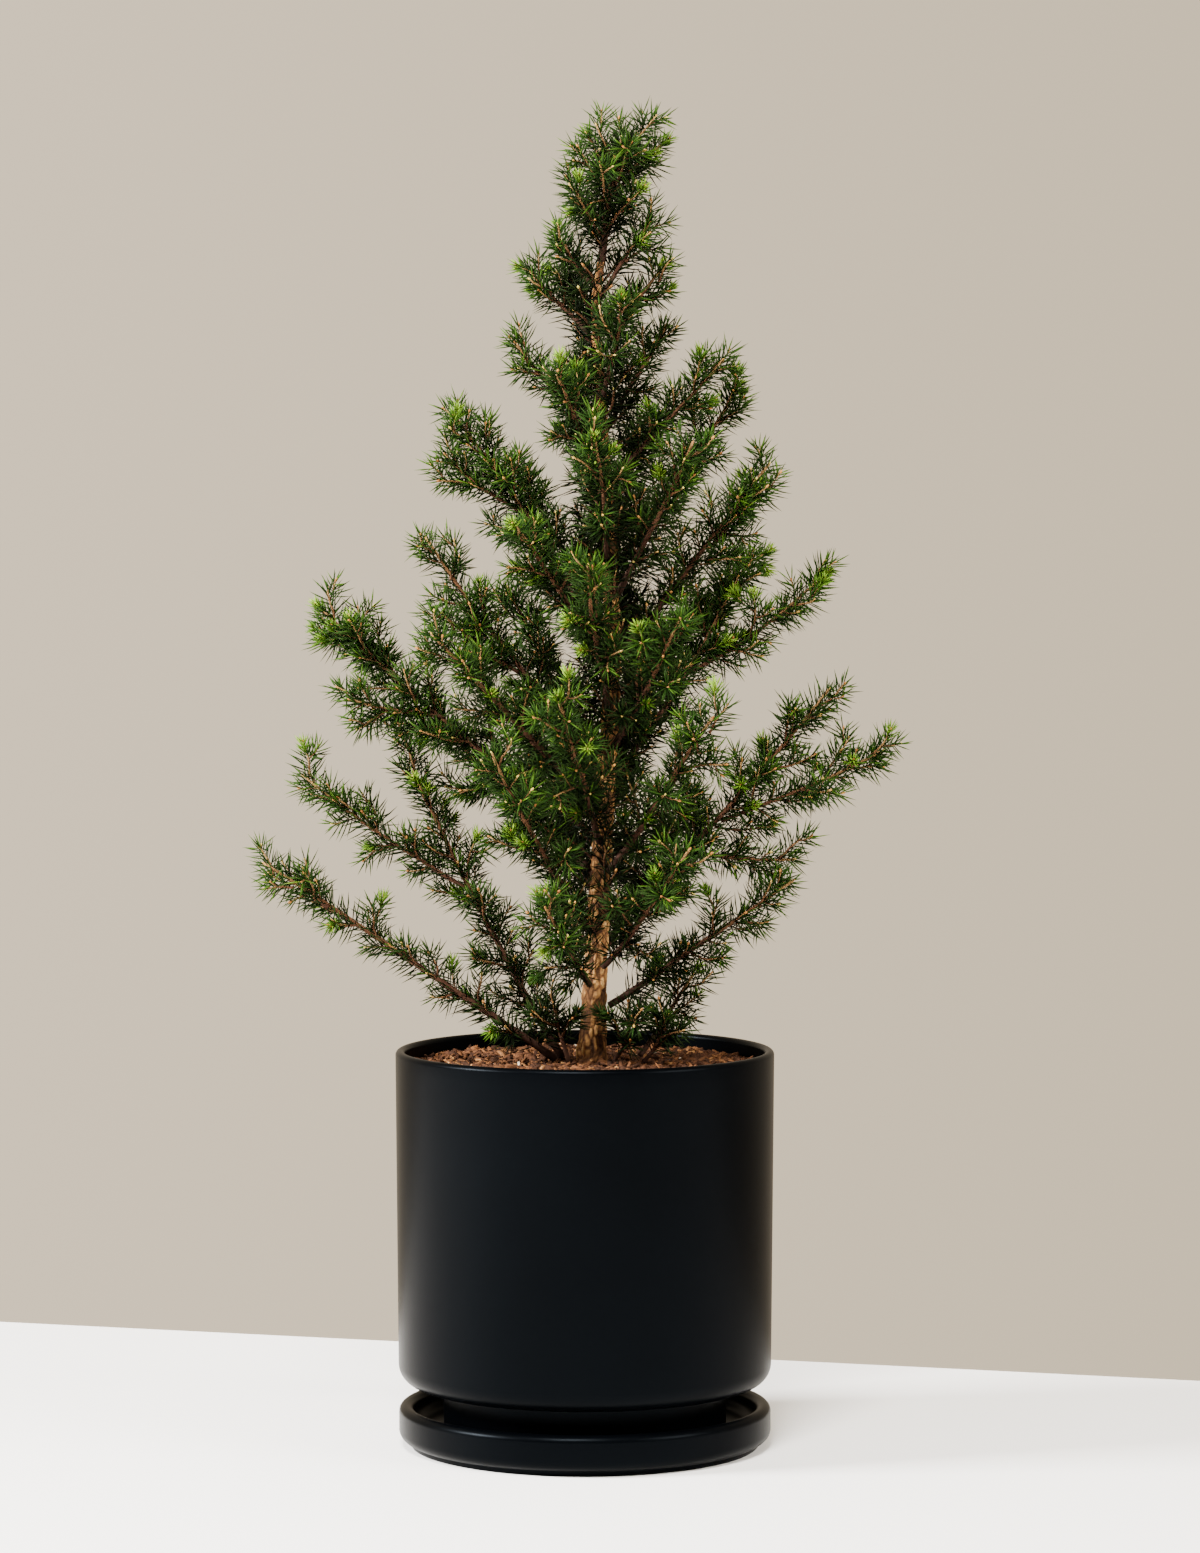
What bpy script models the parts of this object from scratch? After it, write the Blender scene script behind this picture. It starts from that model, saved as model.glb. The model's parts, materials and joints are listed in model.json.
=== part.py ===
"""A tabletop tree in a cylinder planter with a saucer, built piece by piece.

Metres, +Z up. The origin is on the planter's axis, on the surface that the saucer stands on.
The front of the tree faces -Y. The tree is a trunk on a steel rod, with wired boughs that bend
at the bark, and the rod is set in cement in a grower pot that lifts out of the planter.
"""
import itertools
import math
import random

import bmesh
import bpy
import numpy as np
from mathutils import Vector

MM = 0.001
GAP = 0.3 * MM                  # between pieces that touch
TURNED_SIDES = 40               # sides of a turned piece

# Saucer
SAUCER_INSET = 0.2 * MM         # how much narrower it is than the planter's base
SAUCER_HEIGHT = 18.0 * MM
SAUCER_WALL = 6.4 * MM
SAUCER_FLOOR = 6.0 * MM
SAUCER_FOOT_INSET = 4.7 * MM    # how much narrower its foot is
SAUCER_FOOT_HEIGHT = 2.2 * MM
SAUCER_EDGE = 5.0 * MM          # radius of the rounded lower edge

# Planter
PLANTER_RIM_RADIUS = 82.5 * MM
PLANTER_TAPER = 1.1 * MM        # how much narrower its base is
PLANTER_HEIGHT = 146.0 * MM     # from the underside to the rim
PLANTER_LIFT = 9.0 * MM         # from the saucer's rim up to the planter's underside
PLANTER_WALL = 4.2 * MM
PLANTER_FLOOR = 6.0 * MM
PLANTER_EDGE = 9.0 * MM         # radius of the rounded lower edge
PLANTER_FOOT_INSET = 10.4 * MM  # from the rounded lower edge in to the foot ring
PLANTER_FOOT_WIDTH = 6.0 * MM
DRAIN_RADIUS = 7.0 * MM

# Grower pot and what fills it
MULCH_CLEARANCE = 0.9 * MM      # between the mulch and the planter's wall
LINER_CLEARANCE = 2.5 * MM      # between the grower pot and the planter's wall
LINER_WALL = 1.2 * MM
LINER_TAPER = 5.0 * MM          # how much narrower the grower pot is at its base
CEMENT_HEIGHT = 58.0 * MM
MULCH_DROP = 6.5 * MM           # from the rim down to the mulch
MULCH_THICKNESS = 7.0 * MM
MULCH_CROWN = 1.6 * MM          # how much higher the mulch is round the trunk

# Trunk
TREE_HEIGHT = 400.0 * MM        # from the mulch to the top of the leader's wood
TRUNK_BASE_RADIUS = 5.7 * MM
TRUNK_TOP_RADIUS = 2.0 * MM
TRUNK_FLARE = 1.5 * MM          # extra radius at the mulch
TRUNK_SIDES = 12
ROD_RADIUS = 1.6 * MM
ROD_EMBED = 48.0 * MM           # how deep the rod goes into the cement
ROD_TOP = 0.35                  # how far up the trunk the rod reaches
BARK_FOOT = 40.0 * MM           # how far below the mulch the bark goes
LEADER_START = 0.87             # how far up the trunk the leader is pegged in
LEADER_PEG = 7.0 * MM
# How far the trunk leans along X at each fraction of its height
TRUNK_LEAN = (
    (-0.30, 3.0 * MM), (0.0, 3.0 * MM), (0.12, 5.0 * MM), (0.30, 9.0 * MM), (0.45, 12.0 * MM),
    (0.59, 10.0 * MM), (0.72, 7.0 * MM), (0.83, 5.0 * MM), (0.91, 10.0 * MM), (1.0, 16.0 * MM),
)

# Boughs
SPRAY_RADIUS = 2.7 * MM         # the needle-bearing core of a shoot
ROOT_BALL_RADIUS = 1.9 * MM     # the rounded end that a bough bends on
SOCKET_CLEARANCE = 0.35 * MM    # round the ball, to the flats of its socket
GROUND_ROOT_LIFT = 0.8 * MM     # from the mulch up to the ball's centre, where a bough rises from it
STEM_RADIUS = 1.5 * MM          # at a 100 mm long bough's root
STEM_TIP_RADIUS = 0.8 * MM
BARE_LENGTH = 14.0 * MM         # of wood, next to the trunk
TWIG_SPACING = 10.5 * MM
SHORTEST_TWIG = 13.0 * MM
BOUGH_CLEARANCE = 0.5 * MM      # kept between boughs wherever they bend
BEND_DEG = 12.0                 # how far a bough bends up or down
BEND_STEPS = 6                  # bent positions each way that are kept clear
STEM_STEPS = 6                  # straight steps that a stem's curve is made of
STEM_TURNS = (0, 4, -4, 8, -8, 12, -12, 16, -16, 20, -20)   # degrees, tried until a stem is clear
STEM_LIFTS = (0.0, 8.0 * MM, 16.0 * MM, 24.0 * MM, 32.0 * MM, 40.0 * MM)
FORK_TURNS = (0, 6, -6, 12, -12, 18, -18, 24, -24)
SEED = 5

# name, seat (how far up the trunk), azimuth, reach, rise, bow (1 starts level and turns up, -1 the
# reverse), longest twig, forks (how far out, azimuth, reach, rise). Degrees and millimetres.
TRUNK_BOUGHS = (
    ("left_3", 0.253, 176, 116, 95, 0.1, 30, ((0.55, 196, 42, 8), (0.72, 160, 26, 18))),
    ("left_4", 0.341, 186, 74, 91, 0.3, 26, ((0.45, 206, 36, 22),)),
    ("left_5", 0.450, 174, 64, 101, -0.2, 26, ((0.55, 186, 32, 24),)),
    ("left_6", 0.688, 184, 33, 37, 0.0, 17, ()),
    ("left_7", 0.793, 172, 24, 26, 0.0, 15, ()),
    ("left_8", 0.847, 190, 13, 16, 0.0, 13, ()),
    ("right_2", 0.064, 354, 80, 54, 0.1, 17, ()),
    ("right_3", 0.158, 2, 95, 98, 0.25, 30, ((0.35, 343, 46, -3), (0.50, 350, 70, 31))),
    ("right_4", 0.317, 8, 52, 84, 0.1, 24, ((0.52, 354, 62, 41),)),
    ("right_5", 0.452, 356, 64, 78, 0.1, 20, ((0.60, 345, 20, 22),)),
    ("right_6", 0.547, 12, 52, 73, 0.0, 20, ()),
    ("right_7", 0.637, 350, 46, 50, 0.0, 18, ()),
    ("right_8", 0.777, 5, 25, 31, 0.0, 15, ()),
    ("right_9", 0.838, 345, 21, 28, 0.0, 13, ()),
    ("front_1", 0.088, 251, 58, 36, 0.1, 22, ()),
    ("front_2", 0.108, 303, 68, 52, 0.2, 24, ()),
    ("front_3", 0.145, 235, 70, 80, 0.2, 26, ()),
    ("front_4", 0.212, 306, 76, 66, 0.1, 26, ()),
    ("front_5", 0.243, 256, 70, 62, 0.1, 26, ()),
    ("front_6", 0.284, 215, 84, 74, 0.1, 26, ()),
    ("front_7", 0.346, 296, 64, 56, 0.0, 24, ()),
    ("front_8", 0.387, 262, 58, 62, 0.0, 22, ()),
    ("front_9", 0.444, 228, 56, 54, 0.0, 22, ()),
    ("front_10", 0.511, 307, 52, 63, 0.0, 20, ()),
    ("front_11", 0.547, 262, 46, 50, 0.0, 20, ()),
    ("front_12", 0.640, 240, 36, 42, 0.0, 18, ()),
    ("front_13", 0.723, 285, 28, 38, 0.0, 16, ()),
    ("back_1", 0.124, 62, 84, 58, 0.1, 26, ()),
    ("back_2", 0.181, 108, 94, 72, 0.1, 28, ()),
    ("back_3", 0.212, 145, 86, 66, 0.1, 27, ()),
    ("back_4", 0.268, 76, 84, 80, 0.1, 27, ()),
    ("back_5", 0.310, 122, 80, 80, 0.1, 26, ()),
    ("back_6", 0.372, 38, 74, 74, 0.0, 25, ()),
    ("back_7", 0.413, 92, 64, 74, 0.0, 24, ()),
    ("back_8", 0.480, 142, 54, 68, 0.0, 22, ()),
    ("back_9", 0.547, 62, 48, 62, 0.0, 21, ()),
    ("back_10", 0.619, 112, 42, 54, 0.0, 19, ()),
    ("back_11", 0.692, 45, 34, 44, 0.0, 17, ()),
    ("back_12", 0.769, 110, 27, 34, 0.0, 15, ()),
)
# The same, with the distance from the trunk's axis in place of the seat: these rise from the mulch
GROUND_BOUGHS = (
    ("left_1", 16.0, 192, 128, 85, -0.10, 14, ((0.78, 160, 16, 12),)),
    ("left_2", 13.0, 175, 76, 148, 0.25, 20, ((0.55, 180, 72, 50),)),
    ("right_1", 23.0, 24, 27, 33, 0.0, 17, ()),
    ("foot_1", 14.0, 315, 12, 18, 0.0, 13, ()),
    ("foot_2", 26.0, 330, 12, 16, 0.0, 13, ()),
    ("foot_3", 16.0, 232, 11, 24, 0.0, 13, ()),
)
LEADER_TWIGS = 18
LEADER_TWIG = 28.0 * MM

COLOURS = {
    "glaze": (0.008, 0.011, 0.015, 0.45, 0.0),
    "black_plastic": (0.012, 0.012, 0.012, 0.5, 0.0),
    "cement": (0.42, 0.40, 0.37, 0.9, 0.0),
    "foam": (0.05, 0.16, 0.06, 0.95, 0.0),
    "mulch": (0.10, 0.045, 0.025, 0.95, 0.0),
    "steel": (0.55, 0.55, 0.55, 0.35, 1.0),
    "bark": (0.21, 0.11, 0.055, 0.85, 0.0),
    "foliage": (0.035, 0.12, 0.02, 0.6, 0.0),
}

# Sizes that follow from those above
PLANTER_BASE_RADIUS = PLANTER_RIM_RADIUS - PLANTER_TAPER
PLANTER_FOOT_RADIUS = PLANTER_BASE_RADIUS - PLANTER_EDGE - PLANTER_FOOT_INSET
SAUCER_RADIUS = PLANTER_BASE_RADIUS - SAUCER_INSET
SAUCER_FOOT_RADIUS = SAUCER_RADIUS - SAUCER_FOOT_INSET
PLANTER_BOTTOM = SAUCER_HEIGHT + PLANTER_LIFT
RIM_HEIGHT = PLANTER_BOTTOM + PLANTER_HEIGHT
MULCH_TOP = RIM_HEIGHT - MULCH_DROP
MULCH_BOTTOM = MULCH_TOP - MULCH_THICKNESS
LINER_BOTTOM = PLANTER_BOTTOM + PLANTER_FLOOR + GAP
LINER_TOP = MULCH_BOTTOM - GAP
CEMENT_BOTTOM = LINER_BOTTOM + LINER_WALL + GAP
CEMENT_TOP = CEMENT_BOTTOM + CEMENT_HEIGHT
GROUND_ROOT_HEIGHT = MULCH_TOP + MULCH_CROWN + GROUND_ROOT_LIFT


def clear_scene():
    for obj in list(bpy.data.objects):
        bpy.data.objects.remove(obj)


def material(name):
    found = bpy.data.materials.get(name)
    if found:
        return found
    red, green, blue, roughness, metallic = COLOURS[name]
    made = bpy.data.materials.new(name)
    made.use_nodes = True
    shader = made.node_tree.nodes["Principled BSDF"]
    shader.inputs["Base Color"].default_value = (red, green, blue, 1.0)
    shader.inputs["Roughness"].default_value = roughness
    shader.inputs["Metallic"].default_value = metallic
    return made


def add_object(name, mesh, finish, parent=None):
    mesh.shade_smooth()
    mesh.set_sharp_from_angle(angle=math.radians(40))
    obj = bpy.data.objects.new(name, mesh)
    mesh.materials.append(material(finish))
    bpy.context.collection.objects.link(obj)
    obj.parent = parent
    return obj


def add_empty(name, parent=None):
    empty = bpy.data.objects.new(name, None)
    bpy.context.collection.objects.link(empty)
    empty.parent = parent
    return empty


def arc(centre, radius, start_deg, end_deg, steps):
    """Points (r, z) along an arc, both ends included."""
    points = []
    for i in range(steps + 1):
        angle = math.radians(start_deg + (end_deg - start_deg) * i / steps)
        points.append((centre[0] + radius * math.cos(angle), centre[1] + radius * math.sin(angle)))
    return points


def turned_mesh(name, outline, closed, sides=TURNED_SIDES):
    """The outline (r, z) turned round Z: a ring where it is closed, and else capped at both ends."""
    bm = bmesh.new()
    rings = []
    for radius, height in outline:
        ring = []
        for i in range(sides):
            angle = 2.0 * math.pi * i / sides
            ring.append(bm.verts.new((radius * math.cos(angle), radius * math.sin(angle), height)))
        rings.append(ring)
    pairs = list(zip(rings, rings[1:]))
    if closed:
        pairs.append((rings[-1], rings[0]))
    else:
        bm.faces.new(rings[0])
        bm.faces.new(rings[-1])
    for upper, lower in pairs:
        for i in range(sides):
            j = (i + 1) % sides
            bm.faces.new((upper[i], lower[i], lower[j], upper[j]))
    bmesh.ops.recalc_face_normals(bm, faces=bm.faces)
    mesh = bpy.data.meshes.new(name)
    bm.to_mesh(mesh)
    bm.free()
    return mesh


def tube_rings(bm, points, radii, sides):
    """Adds a tube through the points; a radius of 0 makes a point. Returns its rings."""
    reference = Vector((0.0, 1.0, 0.0)) if abs((points[-1] - points[0]).normalized().y) < 0.8 \
        else Vector((1.0, 0.0, 0.0))
    rings = []
    for i, (point, radius) in enumerate(zip(points, radii)):
        if radius == 0.0:
            rings.append([bm.verts.new(point)])
            continue
        tangent = (points[min(i + 1, len(points) - 1)] - points[max(i - 1, 0)]).normalized()
        across = tangent.cross(reference).normalized()
        up = across.cross(tangent)
        ring = []
        for k in range(sides):
            angle = 2.0 * math.pi * k / sides
            offset = across * math.cos(angle) + up * math.sin(angle)
            ring.append(bm.verts.new(point + offset * radius))
        rings.append(ring)
    for lower, upper in zip(rings, rings[1:]):
        for i in range(sides):
            j = (i + 1) % sides
            corners = [lower[i % len(lower)], lower[j % len(lower)],
                       upper[j % len(upper)], upper[i % len(upper)]]
            bm.faces.new(list(dict.fromkeys(corners)))
    return rings


def tubes_mesh(name, tubes, origin=Vector()):
    """Closed tubes (points, radii, sides) in one mesh, measured from the origin given."""
    bm = bmesh.new()
    for points, radii, sides in tubes:
        rings = tube_rings(bm, [point - origin for point in points], radii, sides)
        for ring in (rings[0], rings[-1]):
            if len(ring) > 1:
                bm.faces.new(ring)
    bmesh.ops.recalc_face_normals(bm, faces=bm.faces)
    mesh = bpy.data.meshes.new(name)
    bm.to_mesh(mesh)
    bm.free()
    return mesh


def boolean(target, other, operation, use_self=False):
    """Applies the other object to the target, then removes it."""
    modifier = target.modifiers.new(operation, "BOOLEAN")
    modifier.operation = operation
    modifier.object = other
    modifier.use_self = use_self
    depsgraph = bpy.context.evaluated_depsgraph_get()
    result = bpy.data.meshes.new_from_object(target.evaluated_get(depsgraph))
    target.modifiers.clear()
    target.data = result
    bpy.data.objects.remove(other)


def cutter(name, mesh):
    obj = bpy.data.objects.new(name, mesh)
    bpy.context.collection.objects.link(obj)
    obj.hide_render = True
    obj.display_type = "WIRE"
    return obj


# ---------------------------------------------------------------- planter, saucer and filling

def planter_inner_radius(height):
    """Inside radius of the planter's wall at a height above the ground."""
    share = (height - PLANTER_BOTTOM) / PLANTER_HEIGHT
    return PLANTER_BASE_RADIUS + (PLANTER_RIM_RADIUS - PLANTER_BASE_RADIUS) * share - PLANTER_WALL


def build_saucer():
    lip = SAUCER_WALL / 2
    floor_top = SAUCER_FOOT_HEIGHT + SAUCER_FLOOR
    inner_corner = (SAUCER_RADIUS - SAUCER_WALL - SAUCER_EDGE, floor_top + SAUCER_EDGE)
    outline = arc(inner_corner, SAUCER_EDGE, -90, 0, 3)
    outline += arc((SAUCER_RADIUS - lip, SAUCER_HEIGHT - lip), lip, 180, 0, 5)
    outline += arc((SAUCER_RADIUS - SAUCER_EDGE, SAUCER_FOOT_HEIGHT + SAUCER_EDGE), SAUCER_EDGE, 0, -75, 3)
    outline += [(SAUCER_FOOT_RADIUS, SAUCER_FOOT_HEIGHT), (SAUCER_FOOT_RADIUS - GAP, 0.0)]
    return add_object("saucer", turned_mesh("saucer", outline, closed=False), "glaze")


def build_planter(parent):
    lip = PLANTER_WALL / 2
    floor_top = PLANTER_BOTTOM + PLANTER_FLOOR
    foot_bottom = SAUCER_FOOT_HEIGHT + SAUCER_FLOOR + GAP
    foot_inner = PLANTER_FOOT_RADIUS - PLANTER_FOOT_WIDTH
    inner_edge = PLANTER_EDGE - PLANTER_WALL
    inner_base = planter_inner_radius(floor_top)
    outline = [(DRAIN_RADIUS, floor_top)]
    outline += arc((inner_base - inner_edge, floor_top + inner_edge), inner_edge, -90, 0, 2)
    outline += arc((PLANTER_RIM_RADIUS - lip, RIM_HEIGHT - lip), lip, 180, 0, 5)
    lower_corner = (PLANTER_BASE_RADIUS - PLANTER_EDGE, PLANTER_BOTTOM + PLANTER_EDGE)
    outline += arc(lower_corner, PLANTER_EDGE, 0, -90, 4)
    outline += [(PLANTER_FOOT_RADIUS, PLANTER_BOTTOM), (PLANTER_FOOT_RADIUS - GAP, foot_bottom)]
    outline += [(foot_inner + GAP, foot_bottom), (foot_inner, PLANTER_BOTTOM), (DRAIN_RADIUS, PLANTER_BOTTOM)]
    return add_object("planter", turned_mesh("planter", outline, closed=True), "glaze", parent)


def liner_outer_radius(height):
    top = planter_inner_radius(LINER_BOTTOM) - LINER_CLEARANCE
    return top - LINER_TAPER * (LINER_TOP - height) / (LINER_TOP - LINER_BOTTOM)


def build_liner(parent):
    base = liner_outer_radius(LINER_BOTTOM)
    top = liner_outer_radius(LINER_TOP)
    outline = [(base - LINER_WALL, LINER_BOTTOM + LINER_WALL), (top - LINER_WALL, LINER_TOP),
               (top, LINER_TOP), (base, LINER_BOTTOM)]
    return add_object("grower_pot", turned_mesh("grower_pot", outline, closed=False), "black_plastic", parent)


def build_filling(parent):
    """Cement and foam inside the grower pot, and the mulch over both, each bored for the trunk."""
    inside = LINER_WALL + GAP
    cement = [(liner_outer_radius(CEMENT_TOP) - inside, CEMENT_TOP),
              (liner_outer_radius(CEMENT_BOTTOM) - inside, CEMENT_BOTTOM)]
    foam_bottom = CEMENT_TOP + GAP
    foam = [(liner_outer_radius(LINER_TOP) - inside, LINER_TOP),
            (liner_outer_radius(foam_bottom) - inside, foam_bottom)]
    edge = planter_inner_radius(MULCH_BOTTOM) - MULCH_CLEARANCE
    mulch = [(edge * 0.45, MULCH_TOP + MULCH_CROWN), (edge * 0.75, MULCH_TOP + 0.4 * MULCH_CROWN),
             (edge - MULCH_CROWN, MULCH_TOP), (edge, MULCH_TOP - MULCH_CROWN), (edge, MULCH_BOTTOM)]
    solids = []
    for name, outline, finish in (("cement_weight", cement, "cement"), ("foam_packing", foam, "foam"),
                                  ("mulch_topping", mulch, "mulch")):
        solids.append(add_object(name, turned_mesh(name, outline, closed=False), finish, parent))
    return solids


# ---------------------------------------------------------------- trunk

def trunk_point(share):
    """The trunk's centre at a fraction of its height, on a smooth curve through TRUNK_LEAN."""
    spots = TRUNK_LEAN
    i = max(k for k in range(len(spots) - 1) if spots[k][0] <= share or k == 0)
    before = spots[max(i - 1, 0)][1]
    start, end = spots[i][1], spots[i + 1][1]
    after = spots[min(i + 2, len(spots) - 1)][1]
    t = (share - spots[i][0]) / (spots[i + 1][0] - spots[i][0])
    lean = 0.5 * (2 * start + (end - before) * t + (2 * before - 5 * start + 4 * end - after) * t * t
                  + (3 * start - before - 3 * end + after) * t ** 3)
    return Vector((lean, 0.0, MULCH_TOP + TREE_HEIGHT * share))


def trunk_radius(share):
    flare = TRUNK_FLARE * math.exp(-share * 22.0) if share > 0.0 else TRUNK_FLARE
    return TRUNK_BASE_RADIUS + (TRUNK_TOP_RADIUS - TRUNK_BASE_RADIUS) * max(share, 0.0) / LEADER_START + flare


def below_mulch(depth):
    return -depth / TREE_HEIGHT


def build_trunk(parent, solids):
    """The bark, bored from below for the rod, and the rod; both pass through the filling."""
    foot = below_mulch(BARK_FOOT)
    shares = [foot, 0.0, 0.015, 0.04, 0.08] + [0.08 + (LEADER_START - 0.08) * i / 11 for i in range(1, 12)]
    centres = [trunk_point(share) for share in shares]
    radii = [trunk_radius(share) for share in shares]
    bark = add_object("trunk_bark", tubes_mesh("trunk_bark", [(centres, radii, TRUNK_SIDES)]), "bark", parent)

    rod_foot = (CEMENT_TOP - ROD_EMBED - MULCH_TOP) / TREE_HEIGHT
    rod_shares = [rod_foot + (ROD_TOP - rod_foot) * i / 9 for i in range(10)]
    rod_points = [trunk_point(share) for share in rod_shares]
    rod_mesh = tubes_mesh("trunk_rod", [(rod_points, [ROD_RADIUS] * 10, 10)])
    add_object("trunk_rod", rod_mesh, "steel", parent)

    bore_radius = ROD_RADIUS + 2 * GAP
    bore_points = rod_points + [trunk_point(ROD_TOP + GAP / TREE_HEIGHT * 3)]
    bore_points[0] = bore_points[0] - Vector((0.0, 0.0, 2 * GAP))
    bore = ([bore_radius] * 11, 10)
    boolean(bark, cutter("bore", tubes_mesh("bore", [(bore_points, *bore)])), "DIFFERENCE")

    for solid in solids:
        hole = tubes_mesh("hole", [(bore_points, *bore)])
        boolean(solid, cutter("hole", hole), "DIFFERENCE")
        wide_points = [trunk_point(foot) - Vector((0.0, 0.0, GAP)), trunk_point(0.0), trunk_point(0.02)]
        wide_radius = (trunk_radius(0.0) + GAP) / math.cos(math.pi / TRUNK_SIDES)
        if solid.name != "cement_weight":
            wide = tubes_mesh("wide", [(wide_points, [wide_radius] * 3, TRUNK_SIDES)])
            boolean(solid, cutter("wide", wide), "DIFFERENCE")
    return bark


# ---------------------------------------------------------------- how the boughs grow

def heading(azimuth_deg):
    angle = math.radians(azimuth_deg)
    return Vector((math.cos(angle), math.sin(angle), 0.0))


def shoot_path(start, azimuth_deg, reach, rise, bow, steps):
    """Points along a shoot that goes out by its reach and up by its rise."""
    out = heading(azimuth_deg)
    points = []
    for i in range(steps + 1):
        t = i / steps
        points.append(start + out * reach * t + Vector((0.0, 0.0, rise * (t + bow * (t * t - t)))))
    return points


def along(points, share):
    """The point and the direction at a fraction of a path's steps."""
    place = min(share, 0.999) * (len(points) - 1)
    i = int(place)
    return points[i].lerp(points[i + 1], place - i), (points[i + 1] - points[i]).normalized()


def path_length(points):
    return sum((b - a).length for a, b in zip(points, points[1:]))


def bare_share(stem):
    """How much of a stem, from its root, is bare wood."""
    return min(BARE_LENGTH / path_length(stem), 0.35)


def bent(points, pivot, axis, angles):
    """The points turned about the axis through the pivot, one row for each angle."""
    offsets = np.array([point - pivot for point in points])
    axis = np.array(axis)
    rows = []
    for angle in angles:
        cosine, sine = math.cos(angle), math.sin(angle)
        turned = (offsets * cosine + np.cross(axis, offsets) * sine
                  + np.outer(offsets @ axis, axis) * (1.0 - cosine))
        rows.append(turned + np.array(pivot))
    return np.array(rows)


def nearest_gap(start, end, starts, ends):
    """Distances from one segment to each of many segments."""
    along_one = end - start
    along_many = ends - starts
    between = start - starts
    a = along_one @ along_one
    e = np.einsum("ij,ij->i", along_many, along_many)
    f = np.einsum("ij,ij->i", along_many, between)
    c = between @ along_one
    b = along_many @ along_one
    spread = np.maximum(a * e - b * b, 1e-16)
    s = np.clip((b * f - c * e) / spread, 0.0, 1.0)
    t = (b * s + f) / e
    s = np.where(t < 0.0, np.clip(-c / a, 0.0, 1.0), np.where(t > 1.0, np.clip((b - c) / a, 0.0, 1.0), s))
    t = np.clip(t, 0.0, 1.0)
    apart = start + np.outer(s, along_one) - (starts + t[:, None] * along_many)
    return np.sqrt(np.einsum("ij,ij->i", apart, apart))


class Crown:
    """Every shoot grown so far, at each bend of its bough, to keep new shoots clear of."""

    def __init__(self):
        steps = range(-BEND_STEPS, BEND_STEPS + 1)
        self.angles = [math.radians(BEND_DEG) * step / BEND_STEPS for step in steps]
        self.rest = BEND_STEPS
        self.starts = np.zeros((len(self.angles), 0, 3))
        self.ends = np.zeros((len(self.angles), 0, 3))
        self.radii = np.zeros(0)
        self.owners = np.zeros(0, dtype=int)

    def add(self, rows, radius, owner):
        self.starts = np.concatenate([self.starts, rows[:, :-1]], axis=1)
        self.ends = np.concatenate([self.ends, rows[:, 1:]], axis=1)
        count = rows.shape[1] - 1
        self.radii = np.concatenate([self.radii, np.full(count, radius)])
        self.owners = np.concatenate([self.owners, np.full(count, owner)])

    def clear(self, rows, radius, owner):
        """Whether a shoot, at every bend, keeps off the pot, the mulch and the other boughs."""
        flat = rows.reshape(-1, 3)
        distance = np.hypot(flat[:, 0], flat[:, 1])
        over_rim = distance > planter_inner_radius(RIM_HEIGHT) - 2 * radius
        ground = np.where(over_rim, RIM_HEIGHT, MULCH_TOP + MULCH_CROWN)
        if np.any(flat[:, 2] < ground + radius + BOUGH_CLEARANCE):
            return False
        others = self.owners != owner
        if not np.any(others):
            return True
        needed = self.radii[others] + radius + BOUGH_CLEARANCE
        last = len(self.angles) - 1
        pairs = [(k, self.rest) for k in range(len(self.angles))]
        pairs += [(self.rest, k) for k in range(len(self.angles)) if k != self.rest]
        pairs += [(0, 0), (last, last)]
        for mine, theirs in pairs:
            starts, ends = self.starts[theirs][others], self.ends[theirs][others]
            for start, end in zip(rows[mine], rows[mine][1:]):
                if np.any(nearest_gap(start, end, starts, ends) < needed):
                    return False
        return True


class Bough:
    """One bough: where it is rooted, its main stem, its forks and its twigs."""

    def __init__(self, index, name, root, azimuth, reach, rise, bow, twig, forks):
        self.index = index
        self.name = name
        self.root = root
        self.turn = 0.0
        self.sizes = (azimuth, reach * MM, rise * MM, bow)
        self.longest_twig = twig * MM
        self.fork_sizes = forks
        self.forks = []
        self.twigs = []

    def axis(self):
        out = heading(self.sizes[0] + self.turn)
        return out.cross(Vector((0.0, 0.0, 1.0)))

    def lay_stem(self, turn, lift):
        self.turn = turn
        azimuth, reach, rise, bow = self.sizes
        self.stem = shoot_path(self.root(azimuth + turn), azimuth + turn, reach, rise + lift, bow, STEM_STEPS)

    def has_room(self, crown, others):
        """Whether its root, its bare wood and its leafy part all keep off the boughs already laid."""
        apart = 2.0 * (ROOT_BALL_RADIUS + GAP)
        if any((self.stem[0] - other.stem[0]).length < apart for other in others):
            return False
        bare = bare_share(self.stem)
        leafy = [along(self.stem, bare)[0]]
        leafy += [point for i, point in enumerate(self.stem) if i > bare * STEM_STEPS]
        return crown.clear(self.bends(leafy, crown), SPRAY_RADIUS, self.index) \
            and crown.clear(self.bends(self.stem[1:], crown), STEM_RADIUS, self.index)

    def bends(self, points, crown):
        return bent(points, self.stem[0], self.axis(), crown.angles)


def trunk_root(seat):
    def root(azimuth_deg):
        return trunk_point(seat) + heading(azimuth_deg) * (trunk_radius(seat) + 0.5 * ROOT_BALL_RADIUS)
    return root


def ground_root(distance):
    def root(azimuth_deg):
        spot = trunk_point(0.0) + heading(azimuth_deg) * distance * MM
        return Vector((spot.x, spot.y, GROUND_ROOT_HEIGHT))
    return root


def twig_path(points, share, roll_deg, spread_deg, length):
    """A straight twig from a shoot, at an angle to it, rolled round it."""
    start, direction = along(points, share)
    across = direction.cross(Vector((0.0, 0.0, 1.0))).normalized()
    over = across.cross(direction)
    roll = math.radians(roll_deg)
    spread = math.radians(spread_deg)
    aside = across * math.cos(roll) + over * math.sin(roll)
    return [start, start + (direction * math.cos(spread) + aside * math.sin(spread)) * length]


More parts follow.
